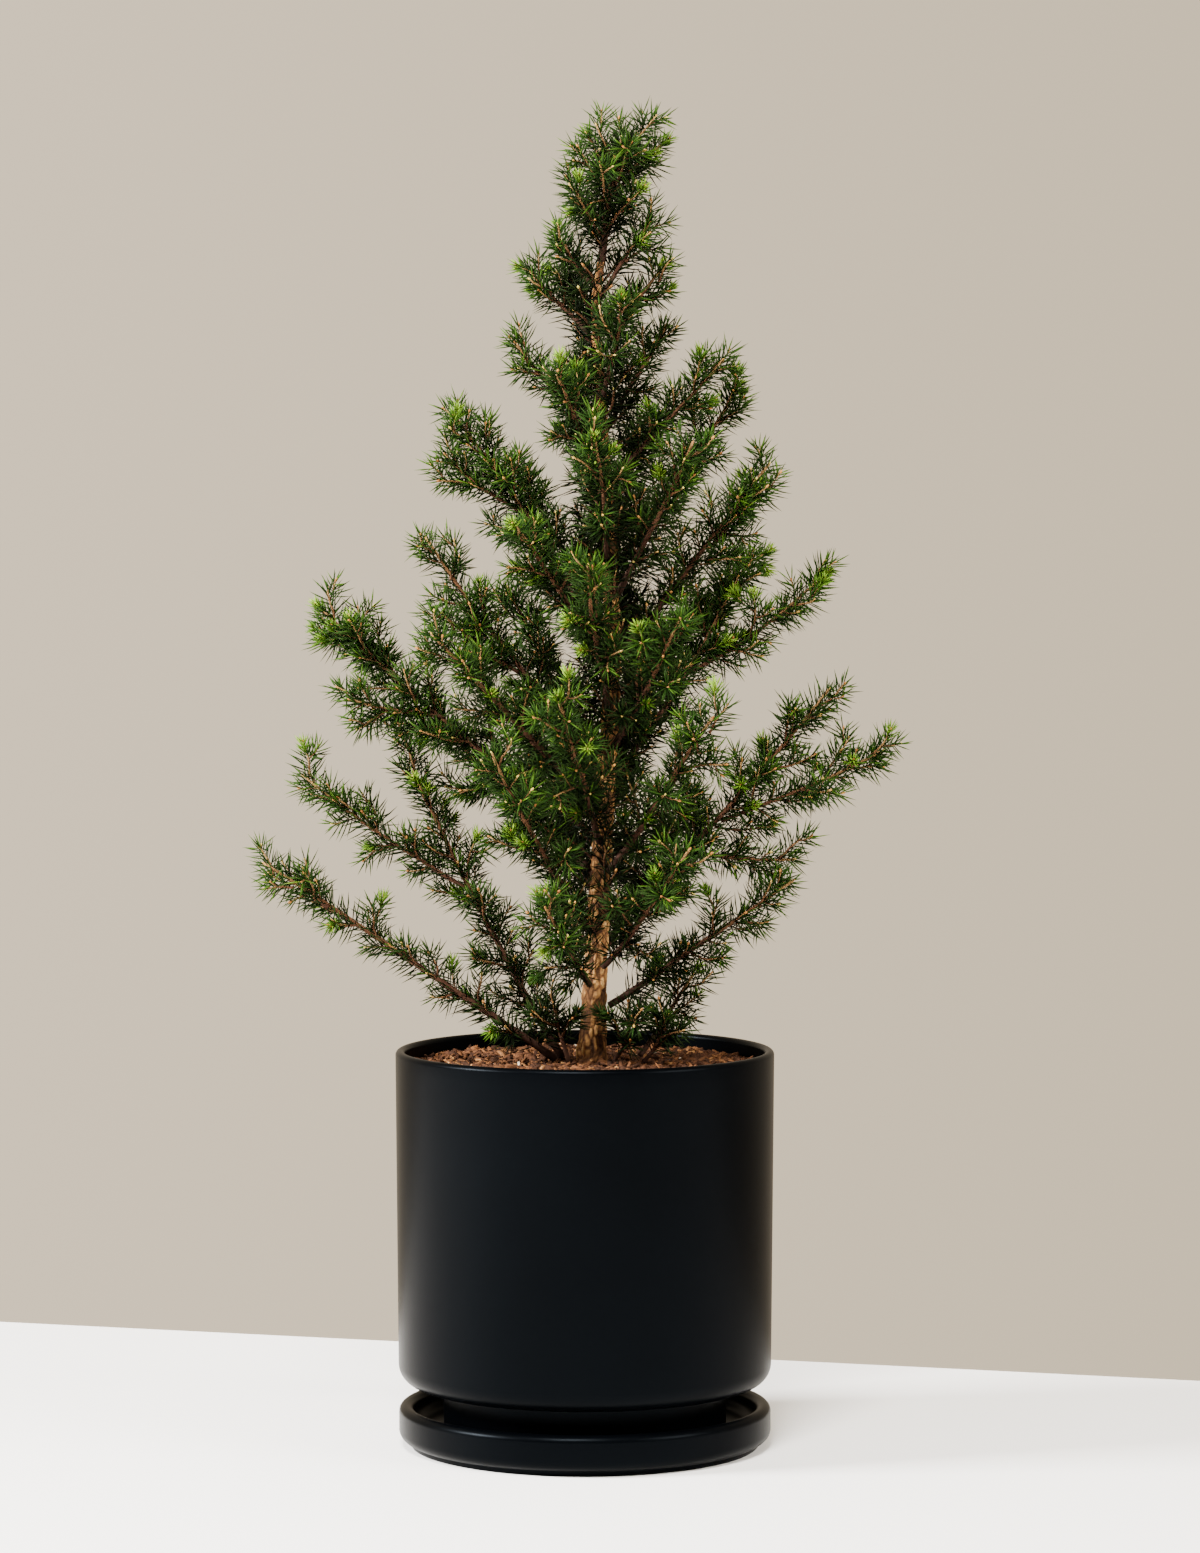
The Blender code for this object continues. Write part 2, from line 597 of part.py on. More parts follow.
def grow_twigs(bough, points, longest, crown, chance):
    """Twigs in turn round a shoot, longest near its middle; one that has no room is tried shorter."""
    length = path_length(points)
    bare = bare_share(points) if points is bough.stem else 0.12
    count = max(int(length * (1.0 - bare) / TWIG_SPACING), 3)
    roll = chance.uniform(0.0, 360.0)
    for k in range(count):
        share = bare + (1.0 - bare) * (k + 0.5) / count
        roll += 137.5 + chance.uniform(-15.0, 15.0)
        spread = 58.0 - 22.0 * share + chance.uniform(-6.0, 6.0)
        wanted = longest * (1.0 - 0.55 * abs(share - 0.45) / 0.55) * chance.uniform(0.85, 1.1)
        for shorter in (1.0, 0.8, 0.62):
            for swing in (0.0, 38.0, -38.0, 76.0, -76.0):
                twig = twig_path(points, share, roll + swing, spread, max(wanted * shorter, SHORTEST_TWIG))
                if crown.clear(bough.bends(twig, crown), SPRAY_RADIUS, bough.index):
                    bough.twigs.append(twig)
                    crown.add(bough.bends(twig, crown), SPRAY_RADIUS, bough.index)
                    break
            else:
                continue
            break


def grow_crown():
    """All the boughs: first the stems, then the forks, then the twigs, from the top down."""
    chance = random.Random(SEED)
    crown = Crown()
    shares = [0.05 * i for i in range(21)]
    line = [trunk_point(share) for share in shares]
    still = np.array([line] * len(crown.angles))
    for i in range(len(shares) - 1):
        crown.add(still[:, i:i + 2], trunk_radius(shares[i]), -1)
    boughs = []
    for name, place, *rest in TRUNK_BOUGHS:
        boughs.append(Bough(len(boughs), name, trunk_root(place), *rest))
    for name, place, *rest in GROUND_BOUGHS:
        boughs.append(Bough(len(boughs), name, ground_root(place), *rest))
    for bough in boughs:
        for lift, turn in itertools.product(STEM_LIFTS, STEM_TURNS):
            bough.lay_stem(turn, lift)
            if bough.has_room(crown, boughs[:bough.index]):
                break
        crown.add(bough.bends(bough.stem, crown), SPRAY_RADIUS, bough.index)
    for bough in boughs:
        for share, azimuth, reach, rise in bough.fork_sizes:
            start, _ = along(bough.stem, share)
            for turn in FORK_TURNS:
                fork = shoot_path(start, azimuth + turn, reach * MM, rise * MM, 0.2, 3)
                if crown.clear(bough.bends(fork, crown), SPRAY_RADIUS, bough.index):
                    bough.forks.append(fork)
                    crown.add(bough.bends(fork, crown), SPRAY_RADIUS, bough.index)
                    break
    for bough in boughs:
        grow_twigs(bough, bough.stem, bough.longest_twig, crown, chance)
        for fork in bough.forks:
            grow_twigs(bough, fork, 0.8 * bough.longest_twig, crown, chance)
    return boughs, crown, chance


def leader_shoots(crown, chance):
    """The leader's line above the bark, and the twigs round it."""
    line = [trunk_point(LEADER_START + (1.0 - LEADER_START) * i / 4) for i in range(5)]
    twigs = []
    roll = 0.0
    for k in range(LEADER_TWIGS):
        share = 0.10 + 0.74 * k / (LEADER_TWIGS - 1)
        roll += 137.5
        twig = twig_path(line, share, roll, 58.0 - 12.0 * share,
                         LEADER_TWIG * (1.0 - 0.15 * share) * chance.uniform(0.9, 1.1))
        rows = np.array([twig] * len(crown.angles))
        if crown.clear(rows, SPRAY_RADIUS, -1):
            twigs.append(twig)
            crown.add(rows, SPRAY_RADIUS, -1)
    return line, twigs


# ---------------------------------------------------------------- boughs as solids

def twig_tube(twig, thickness=SPRAY_RADIUS):
    start, end = twig
    return ([start, start.lerp(end, 0.5), end], [0.0, thickness, 0.0], 4)


def fork_tube(fork):
    radii = [STEM_TIP_RADIUS] + [SPRAY_RADIUS * 0.9] * (len(fork) - 2) + [0.0]
    return (fork, radii, 4)


def stem_tube(stem):
    """The root ball, the bare wood and the leafy rest of a stem, as one turned tube."""
    ball, first = stem[0], (stem[1] - stem[0]).normalized()
    length = path_length(stem)
    wood = STEM_RADIUS * (0.55 + 0.45 * length / (100.0 * MM))
    wood = min(wood, 0.82 * ROOT_BALL_RADIUS)
    points = [ball - first * ROOT_BALL_RADIUS]
    radii = [0.0]
    for angle_deg in (-30.0, 25.0):
        points.append(ball + first * ROOT_BALL_RADIUS * math.sin(math.radians(angle_deg)))
        radii.append(ROOT_BALL_RADIUS * math.cos(math.radians(angle_deg)))
    points += [ball + first * (ROOT_BALL_RADIUS + 1.2 * MM)]
    radii += [wood]
    bare = bare_share(stem)
    points += [along(stem, bare)[0], along(stem, bare + 5.0 * MM / length)[0]]
    radii += [wood, SPRAY_RADIUS]
    leafy = [share for share in (0.3, 0.5, 0.7, 0.85) if share > bare + 14.0 * MM / length]
    points += [along(stem, share)[0] for share in leafy] + [stem[-1]]
    radii += [SPRAY_RADIUS] * len(leafy) + [0.0]
    return (points, radii, 6)


def build_bough(bough, parent):
    pivot = add_empty("bend_" + bough.name, parent)
    pivot.location = bough.stem[0]
    mesh = tubes_mesh("bough_" + bough.name, [stem_tube(bough.stem)], origin=bough.stem[0])
    obj = add_object("bough_" + bough.name, mesh, "foliage", pivot)
    bpy.context.view_layer.update()
    shoots = [fork_tube(fork) for fork in bough.forks] + [twig_tube(twig) for twig in bough.twigs]
    spray = cutter("spray", tubes_mesh("spray", shoots))
    boolean(obj, spray, "UNION", use_self=True)
    return obj


def build_leader(parent, bark, crown, chance):
    """The top of the tree, pegged into the bark, with its own short twigs."""
    peg = LEADER_START - LEADER_PEG / TREE_HEIGHT
    line, twigs = leader_shoots(crown, chance)
    line = [trunk_point(peg)] + line
    thin = 0.6 * trunk_radius(LEADER_START)
    hole_line = [line[0] - Vector((0.0, 0.0, GAP)), line[1], trunk_point(LEADER_START + 0.01)]
    hole_radius = (thin + GAP) / math.cos(math.pi / 8)
    hole = tubes_mesh("peg", [(hole_line, [hole_radius] * 3, 8)])
    boolean(bark, cutter("peg", hole), "DIFFERENCE")
    mesh = tubes_mesh("leader", [(line, [thin, thin, SPRAY_RADIUS, SPRAY_RADIUS, SPRAY_RADIUS, 0.0], 8)])
    leader = add_object("leader", mesh, "foliage", parent)
    spray = cutter("spray", tubes_mesh("spray", [twig_tube(twig) for twig in twigs]))
    boolean(leader, spray, "UNION", use_self=True)
    return leader


def cut_sockets(bark, mulch, boughs):
    """A round seat for each bough's root ball, in the bark or in the mulch."""
    ground = {name for name, *_ in GROUND_BOUGHS}
    for bough in boughs:
        bm = bmesh.new()
        flats = 0.79    # the distance of an icosahedron's flats, as a share of its corners'
        bmesh.ops.create_icosphere(bm, subdivisions=1, radius=(ROOT_BALL_RADIUS + SOCKET_CLEARANCE) / flats)
        bmesh.ops.translate(bm, verts=bm.verts, vec=bough.stem[0])
        mesh = bpy.data.meshes.new("socket")
        bm.to_mesh(mesh)
        bm.free()
        boolean(mulch if bough.name in ground else bark, cutter("socket", mesh), "DIFFERENCE")


def main():
    clear_scene()
    build_saucer()
    planter_body = add_empty("planter_lifts_off")
    build_planter(planter_body)
    tree_body = add_empty("tree_lifts_out", planter_body)
    build_liner(tree_body)
    solids = build_filling(tree_body)
    bark = build_trunk(tree_body, solids)
    boughs, crown, chance = grow_crown()
    build_leader(tree_body, bark, crown, chance)
    cut_sockets(bark, solids[-1], boughs)
    for bough in boughs:
        build_bough(bough, tree_body)


main()
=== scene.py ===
"""The looks of a tabletop tree in a cylinder planter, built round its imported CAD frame.

Metres, +Z up, the planter's axis on Z, the front of the tree towards -Y. The boughs grow here by the
same rules and sizes as the CAD solids do, and then get their bark, needles, buds and fresh shoots.
"""
import itertools
import json
import math
import random

import bmesh
import bpy
import numpy as np
from mathutils import Matrix, Vector, noise


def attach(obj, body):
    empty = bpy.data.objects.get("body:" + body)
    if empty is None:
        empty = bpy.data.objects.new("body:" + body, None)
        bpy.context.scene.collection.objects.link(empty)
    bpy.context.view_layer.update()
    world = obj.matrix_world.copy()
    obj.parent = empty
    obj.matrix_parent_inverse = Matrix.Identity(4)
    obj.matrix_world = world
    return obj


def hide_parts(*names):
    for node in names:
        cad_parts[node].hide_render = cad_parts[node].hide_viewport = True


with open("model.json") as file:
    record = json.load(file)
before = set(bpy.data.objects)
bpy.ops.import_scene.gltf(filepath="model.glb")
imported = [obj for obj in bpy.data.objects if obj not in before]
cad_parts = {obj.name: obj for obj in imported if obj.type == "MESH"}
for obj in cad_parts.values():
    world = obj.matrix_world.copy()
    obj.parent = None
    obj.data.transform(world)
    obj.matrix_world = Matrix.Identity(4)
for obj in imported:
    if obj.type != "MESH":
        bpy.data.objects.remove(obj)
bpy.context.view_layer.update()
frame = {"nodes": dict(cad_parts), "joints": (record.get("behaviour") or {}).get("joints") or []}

MM = 0.001
GAP = 0.3 * MM                  # between pieces that touch

# Saucer
SAUCER_INSET = 0.2 * MM         # how much narrower it is than the planter's base
SAUCER_HEIGHT = 18.0 * MM
SAUCER_WALL = 6.4 * MM
SAUCER_FLOOR = 6.0 * MM
SAUCER_FOOT_INSET = 4.7 * MM    # how much narrower its foot is
SAUCER_FOOT_HEIGHT = 2.2 * MM
SAUCER_EDGE = 5.0 * MM          # radius of the rounded lower edge

# Planter
PLANTER_RIM_RADIUS = 82.5 * MM
PLANTER_TAPER = 1.1 * MM        # how much narrower its base is
PLANTER_HEIGHT = 146.0 * MM     # from the underside to the rim
PLANTER_LIFT = 9.0 * MM         # from the saucer's rim up to the planter's underside
PLANTER_WALL = 4.2 * MM
PLANTER_FLOOR = 6.0 * MM
PLANTER_EDGE = 9.0 * MM         # radius of the rounded lower edge
PLANTER_FOOT_INSET = 10.4 * MM  # from the rounded lower edge in to the foot ring
PLANTER_FOOT_WIDTH = 6.0 * MM
DRAIN_RADIUS = 7.0 * MM

# Grower pot and what fills it
MULCH_CLEARANCE = 0.9 * MM      # between the mulch and the planter's wall
LINER_CLEARANCE = 2.5 * MM      # between the grower pot and the planter's wall
LINER_WALL = 1.2 * MM
LINER_TAPER = 5.0 * MM          # how much narrower the grower pot is at its base
MULCH_DROP = 6.5 * MM           # from the rim down to the mulch
MULCH_THICKNESS = 7.0 * MM
MULCH_CROWN = 1.6 * MM          # how much higher the mulch is round the trunk

# Trunk
TREE_HEIGHT = 400.0 * MM        # from the mulch to the top of the leader's wood
TRUNK_BASE_RADIUS = 5.7 * MM
TRUNK_TOP_RADIUS = 2.0 * MM
TRUNK_FLARE = 1.5 * MM          # extra radius at the mulch
BARK_FOOT = 40.0 * MM           # how far below the mulch the bark goes
LEADER_START = 0.87             # how far up the trunk the leader is pegged in
# How far the trunk leans along X at each fraction of its height
TRUNK_LEAN = (
    (-0.30, 3.0 * MM), (0.0, 3.0 * MM), (0.12, 5.0 * MM), (0.30, 9.0 * MM), (0.45, 12.0 * MM),
    (0.59, 10.0 * MM), (0.72, 7.0 * MM), (0.83, 5.0 * MM), (0.91, 10.0 * MM), (1.0, 16.0 * MM),
)

# Boughs
SPRAY_RADIUS = 2.7 * MM         # the needle-bearing core of a shoot
ROOT_BALL_RADIUS = 1.9 * MM     # the rounded end that a bough bends on
GROUND_ROOT_LIFT = 0.8 * MM     # from the mulch up to the ball's centre, where a bough rises from it
STEM_RADIUS = 1.5 * MM          # at a 100 mm long bough's root
BARE_LENGTH = 14.0 * MM         # of wood, next to the trunk
TWIG_SPACING = 10.5 * MM
SHORTEST_TWIG = 13.0 * MM
BOUGH_CLEARANCE = 0.5 * MM      # kept between boughs wherever they bend
BEND_DEG = 12.0                 # how far a bough bends up or down
BEND_STEPS = 6                  # bent positions each way that are kept clear
STEM_STEPS = 6                  # straight steps that a stem's curve is made of
STEM_TURNS = (0, 4, -4, 8, -8, 12, -12, 16, -16, 20, -20)   # degrees, tried until a stem is clear
STEM_LIFTS = (0.0, 8.0 * MM, 16.0 * MM, 24.0 * MM, 32.0 * MM, 40.0 * MM)
FORK_TURNS = (0, 6, -6, 12, -12, 18, -18, 24, -24)
SEED = 5

# name, seat (how far up the trunk), azimuth, reach, rise, bow (1 starts level and turns up, -1 the
# reverse), longest twig, forks (how far out, azimuth, reach, rise). Degrees and millimetres.
TRUNK_BOUGHS = (
    ("left_3", 0.253, 176, 116, 95, 0.1, 30, ((0.55, 196, 42, 8), (0.72, 160, 26, 18))),
    ("left_4", 0.341, 186, 74, 91, 0.3, 26, ((0.45, 206, 36, 22),)),
    ("left_5", 0.450, 174, 64, 101, -0.2, 26, ((0.55, 186, 32, 24),)),
    ("left_6", 0.688, 184, 33, 37, 0.0, 17, ()),
    ("left_7", 0.793, 172, 24, 26, 0.0, 15, ()),
    ("left_8", 0.847, 190, 13, 16, 0.0, 13, ()),
    ("right_2", 0.064, 354, 80, 54, 0.1, 17, ()),
    ("right_3", 0.158, 2, 95, 98, 0.25, 30, ((0.35, 343, 46, -3), (0.50, 350, 70, 31))),
    ("right_4", 0.317, 8, 52, 84, 0.1, 24, ((0.52, 354, 62, 41),)),
    ("right_5", 0.452, 356, 64, 78, 0.1, 20, ((0.60, 345, 20, 22),)),
    ("right_6", 0.547, 12, 52, 73, 0.0, 20, ()),
    ("right_7", 0.637, 350, 46, 50, 0.0, 18, ()),
    ("right_8", 0.777, 5, 25, 31, 0.0, 15, ()),
    ("right_9", 0.838, 345, 21, 28, 0.0, 13, ()),
    ("front_1", 0.088, 251, 58, 36, 0.1, 22, ()),
    ("front_2", 0.108, 303, 68, 52, 0.2, 24, ()),
    ("front_3", 0.145, 235, 70, 80, 0.2, 26, ()),
    ("front_4", 0.212, 306, 76, 66, 0.1, 26, ()),
    ("front_5", 0.243, 256, 70, 62, 0.1, 26, ()),
    ("front_6", 0.284, 215, 84, 74, 0.1, 26, ()),
    ("front_7", 0.346, 296, 64, 56, 0.0, 24, ()),
    ("front_8", 0.387, 262, 58, 62, 0.0, 22, ()),
    ("front_9", 0.444, 228, 56, 54, 0.0, 22, ()),
    ("front_10", 0.511, 307, 52, 63, 0.0, 20, ()),
    ("front_11", 0.547, 262, 46, 50, 0.0, 20, ()),
    ("front_12", 0.640, 240, 36, 42, 0.0, 18, ()),
    ("front_13", 0.723, 285, 28, 38, 0.0, 16, ()),
    ("back_1", 0.124, 62, 84, 58, 0.1, 26, ()),
    ("back_2", 0.181, 108, 94, 72, 0.1, 28, ()),
    ("back_3", 0.212, 145, 86, 66, 0.1, 27, ()),
    ("back_4", 0.268, 76, 84, 80, 0.1, 27, ()),
    ("back_5", 0.310, 122, 80, 80, 0.1, 26, ()),
    ("back_6", 0.372, 38, 74, 74, 0.0, 25, ()),
    ("back_7", 0.413, 92, 64, 74, 0.0, 24, ()),
    ("back_8", 0.480, 142, 54, 68, 0.0, 22, ()),
    ("back_9", 0.547, 62, 48, 62, 0.0, 21, ()),
    ("back_10", 0.619, 112, 42, 54, 0.0, 19, ()),
    ("back_11", 0.692, 45, 34, 44, 0.0, 17, ()),
    ("back_12", 0.769, 110, 27, 34, 0.0, 15, ()),
)
# The same, with the distance from the trunk's axis in place of the seat: these rise from the mulch
GROUND_BOUGHS = (
    ("left_1", 16.0, 192, 128, 85, -0.10, 14, ((0.78, 160, 16, 12),)),
    ("left_2", 13.0, 175, 76, 148, 0.25, 20, ((0.55, 180, 72, 50),)),
    ("right_1", 23.0, 24, 27, 33, 0.0, 17, ()),
    ("foot_1", 14.0, 315, 12, 18, 0.0, 13, ()),
    ("foot_2", 26.0, 330, 12, 16, 0.0, 13, ()),
    ("foot_3", 16.0, 232, 11, 24, 0.0, 13, ()),
)
LEADER_TWIGS = 18
LEADER_TWIG = 28.0 * MM

# Sizes that follow from those above
PLANTER_BASE_RADIUS = PLANTER_RIM_RADIUS - PLANTER_TAPER
PLANTER_FOOT_RADIUS = PLANTER_BASE_RADIUS - PLANTER_EDGE - PLANTER_FOOT_INSET
SAUCER_RADIUS = PLANTER_BASE_RADIUS - SAUCER_INSET
SAUCER_FOOT_RADIUS = SAUCER_RADIUS - SAUCER_FOOT_INSET
PLANTER_BOTTOM = SAUCER_HEIGHT + PLANTER_LIFT
RIM_HEIGHT = PLANTER_BOTTOM + PLANTER_HEIGHT
MULCH_TOP = RIM_HEIGHT - MULCH_DROP
MULCH_BOTTOM = MULCH_TOP - MULCH_THICKNESS
LINER_BOTTOM = PLANTER_BOTTOM + PLANTER_FLOOR + GAP
LINER_TOP = MULCH_BOTTOM - GAP
GROUND_ROOT_HEIGHT = MULCH_TOP + MULCH_CROWN + GROUND_ROOT_LIFT


def arc(centre, radius, start_deg, end_deg, steps):
    """Points (r, z) along an arc, both ends included."""
    points = []
    for i in range(steps + 1):
        angle = math.radians(start_deg + (end_deg - start_deg) * i / steps)
        points.append((centre[0] + radius * math.cos(angle), centre[1] + radius * math.sin(angle)))
    return points


def planter_inner_radius(height):
    """Inside radius of the planter's wall at a height above the ground."""
    share = (height - PLANTER_BOTTOM) / PLANTER_HEIGHT
    return PLANTER_BASE_RADIUS + (PLANTER_RIM_RADIUS - PLANTER_BASE_RADIUS) * share - PLANTER_WALL


def liner_outer_radius(height):
    top = planter_inner_radius(LINER_BOTTOM) - LINER_CLEARANCE
    return top - LINER_TAPER * (LINER_TOP - height) / (LINER_TOP - LINER_BOTTOM)


def trunk_point(share):
    """The trunk's centre at a fraction of its height, on a smooth curve through TRUNK_LEAN."""
    spots = TRUNK_LEAN
    i = max(k for k in range(len(spots) - 1) if spots[k][0] <= share or k == 0)
    before = spots[max(i - 1, 0)][1]
    start, end = spots[i][1], spots[i + 1][1]
    after = spots[min(i + 2, len(spots) - 1)][1]
    t = (share - spots[i][0]) / (spots[i + 1][0] - spots[i][0])
    lean = 0.5 * (2 * start + (end - before) * t + (2 * before - 5 * start + 4 * end - after) * t * t
                  + (3 * start - before - 3 * end + after) * t ** 3)
    return Vector((lean, 0.0, MULCH_TOP + TREE_HEIGHT * share))


def trunk_radius(share):
    flare = TRUNK_FLARE * math.exp(-share * 22.0) if share > 0.0 else TRUNK_FLARE
    return TRUNK_BASE_RADIUS + (TRUNK_TOP_RADIUS - TRUNK_BASE_RADIUS) * max(share, 0.0) / LEADER_START + flare


def below_mulch(depth):
    return -depth / TREE_HEIGHT


def heading(azimuth_deg):
    angle = math.radians(azimuth_deg)
    return Vector((math.cos(angle), math.sin(angle), 0.0))


def shoot_path(start, azimuth_deg, reach, rise, bow, steps):
    """Points along a shoot that goes out by its reach and up by its rise."""
    out = heading(azimuth_deg)
    points = []
    for i in range(steps + 1):
        t = i / steps
        points.append(start + out * reach * t + Vector((0.0, 0.0, rise * (t + bow * (t * t - t)))))
    return points


def along(points, share):
    """The point and the direction at a fraction of a path's steps."""
    place = min(share, 0.999) * (len(points) - 1)
    i = int(place)
    return points[i].lerp(points[i + 1], place - i), (points[i + 1] - points[i]).normalized()


def path_length(points):
    return sum((b - a).length for a, b in zip(points, points[1:]))


def bare_share(stem):
    """How much of a stem, from its root, is bare wood."""
    return min(BARE_LENGTH / path_length(stem), 0.35)


def bent(points, pivot, axis, angles):
    """The points turned about the axis through the pivot, one row for each angle."""
    offsets = np.array([point - pivot for point in points])
    axis = np.array(axis)
    rows = []
    for angle in angles:
        cosine, sine = math.cos(angle), math.sin(angle)
        turned = (offsets * cosine + np.cross(axis, offsets) * sine
                  + np.outer(offsets @ axis, axis) * (1.0 - cosine))
        rows.append(turned + np.array(pivot))
    return np.array(rows)


def nearest_gap(start, end, starts, ends):
    """Distances from one segment to each of many segments."""
    along_one = end - start
    along_many = ends - starts
    between = start - starts
    a = along_one @ along_one
    e = np.einsum("ij,ij->i", along_many, along_many)
    f = np.einsum("ij,ij->i", along_many, between)
    c = between @ along_one
    b = along_many @ along_one
    spread = np.maximum(a * e - b * b, 1e-16)
    s = np.clip((b * f - c * e) / spread, 0.0, 1.0)
    t = (b * s + f) / e
    s = np.where(t < 0.0, np.clip(-c / a, 0.0, 1.0), np.where(t > 1.0, np.clip((b - c) / a, 0.0, 1.0), s))
    t = np.clip(t, 0.0, 1.0)
    apart = start + np.outer(s, along_one) - (starts + t[:, None] * along_many)
    return np.sqrt(np.einsum("ij,ij->i", apart, apart))


class Crown:
    """Every shoot grown so far, at each bend of its bough, to keep new shoots clear of."""

    def __init__(self):
        steps = range(-BEND_STEPS, BEND_STEPS + 1)
        self.angles = [math.radians(BEND_DEG) * step / BEND_STEPS for step in steps]
        self.rest = BEND_STEPS
        self.starts = np.zeros((len(self.angles), 0, 3))
        self.ends = np.zeros((len(self.angles), 0, 3))
        self.radii = np.zeros(0)
        self.owners = np.zeros(0, dtype=int)

    def add(self, rows, radius, owner):
        self.starts = np.concatenate([self.starts, rows[:, :-1]], axis=1)
        self.ends = np.concatenate([self.ends, rows[:, 1:]], axis=1)
        count = rows.shape[1] - 1
        self.radii = np.concatenate([self.radii, np.full(count, radius)])
        self.owners = np.concatenate([self.owners, np.full(count, owner)])

    def clear(self, rows, radius, owner):
        """Whether a shoot, at every bend, keeps off the pot, the mulch and the other boughs."""
        flat = rows.reshape(-1, 3)
        distance = np.hypot(flat[:, 0], flat[:, 1])
        over_rim = distance > planter_inner_radius(RIM_HEIGHT) - 2 * radius
        ground = np.where(over_rim, RIM_HEIGHT, MULCH_TOP + MULCH_CROWN)
        if np.any(flat[:, 2] < ground + radius + BOUGH_CLEARANCE):
            return False
        others = self.owners != owner
        if not np.any(others):
            return True
        needed = self.radii[others] + radius + BOUGH_CLEARANCE
        last = len(self.angles) - 1
        pairs = [(k, self.rest) for k in range(len(self.angles))]
        pairs += [(self.rest, k) for k in range(len(self.angles)) if k != self.rest]
        pairs += [(0, 0), (last, last)]
        for mine, theirs in pairs:
            starts, ends = self.starts[theirs][others], self.ends[theirs][others]
            for start, end in zip(rows[mine], rows[mine][1:]):
                if np.any(nearest_gap(start, end, starts, ends) < needed):
                    return False
        return True


class Bough:
    """One bough: where it is rooted, its main stem, its forks and its twigs."""

    def __init__(self, index, name, root, azimuth, reach, rise, bow, twig, forks):
        self.index = index
        self.name = name
        self.root = root
        self.turn = 0.0
        self.sizes = (azimuth, reach * MM, rise * MM, bow)
        self.longest_twig = twig * MM
        self.fork_sizes = forks
        self.forks = []
        self.twigs = []

    def axis(self):
        out = heading(self.sizes[0] + self.turn)
        return out.cross(Vector((0.0, 0.0, 1.0)))

    def lay_stem(self, turn, lift):
        self.turn = turn
        azimuth, reach, rise, bow = self.sizes
        self.stem = shoot_path(self.root(azimuth + turn), azimuth + turn, reach, rise + lift, bow, STEM_STEPS)

    def has_room(self, crown, others):
        """Whether its root, its bare wood and its leafy part all keep off the boughs already laid."""
        apart = 2.0 * (ROOT_BALL_RADIUS + GAP)
        if any((self.stem[0] - other.stem[0]).length < apart for other in others):
            return False
        bare = bare_share(self.stem)
        leafy = [along(self.stem, bare)[0]]
        leafy += [point for i, point in enumerate(self.stem) if i > bare * STEM_STEPS]
        return crown.clear(self.bends(leafy, crown), SPRAY_RADIUS, self.index) \
            and crown.clear(self.bends(self.stem[1:], crown), STEM_RADIUS, self.index)

    def bends(self, points, crown):
        return bent(points, self.stem[0], self.axis(), crown.angles)


def trunk_root(seat):
    def root(azimuth_deg):
        return trunk_point(seat) + heading(azimuth_deg) * (trunk_radius(seat) + 0.5 * ROOT_BALL_RADIUS)
    return root


def ground_root(distance):
    def root(azimuth_deg):
        spot = trunk_point(0.0) + heading(azimuth_deg) * distance * MM
        return Vector((spot.x, spot.y, GROUND_ROOT_HEIGHT))
    return root


def twig_path(points, share, roll_deg, spread_deg, length):
    """A straight twig from a shoot, at an angle to it, rolled round it."""
    start, direction = along(points, share)
    across = direction.cross(Vector((0.0, 0.0, 1.0))).normalized()
    over = across.cross(direction)
    roll = math.radians(roll_deg)
    spread = math.radians(spread_deg)
    aside = across * math.cos(roll) + over * math.sin(roll)
    return [start, start + (direction * math.cos(spread) + aside * math.sin(spread)) * length]


def grow_twigs(bough, points, longest, crown, chance):
    """Twigs in turn round a shoot, longest near its middle; one that has no room is tried shorter."""
    length = path_length(points)
    bare = bare_share(points) if points is bough.stem else 0.12
    count = max(int(length * (1.0 - bare) / TWIG_SPACING), 3)
    roll = chance.uniform(0.0, 360.0)
    for k in range(count):
        share = bare + (1.0 - bare) * (k + 0.5) / count
        roll += 137.5 + chance.uniform(-15.0, 15.0)
        spread = 58.0 - 22.0 * share + chance.uniform(-6.0, 6.0)
        wanted = longest * (1.0 - 0.55 * abs(share - 0.45) / 0.55) * chance.uniform(0.85, 1.1)
        for shorter in (1.0, 0.8, 0.62):
            for swing in (0.0, 38.0, -38.0, 76.0, -76.0):
                twig = twig_path(points, share, roll + swing, spread, max(wanted * shorter, SHORTEST_TWIG))
                if crown.clear(bough.bends(twig, crown), SPRAY_RADIUS, bough.index):
                    bough.twigs.append(twig)
                    crown.add(bough.bends(twig, crown), SPRAY_RADIUS, bough.index)
                    break
            else:
                continue
            break


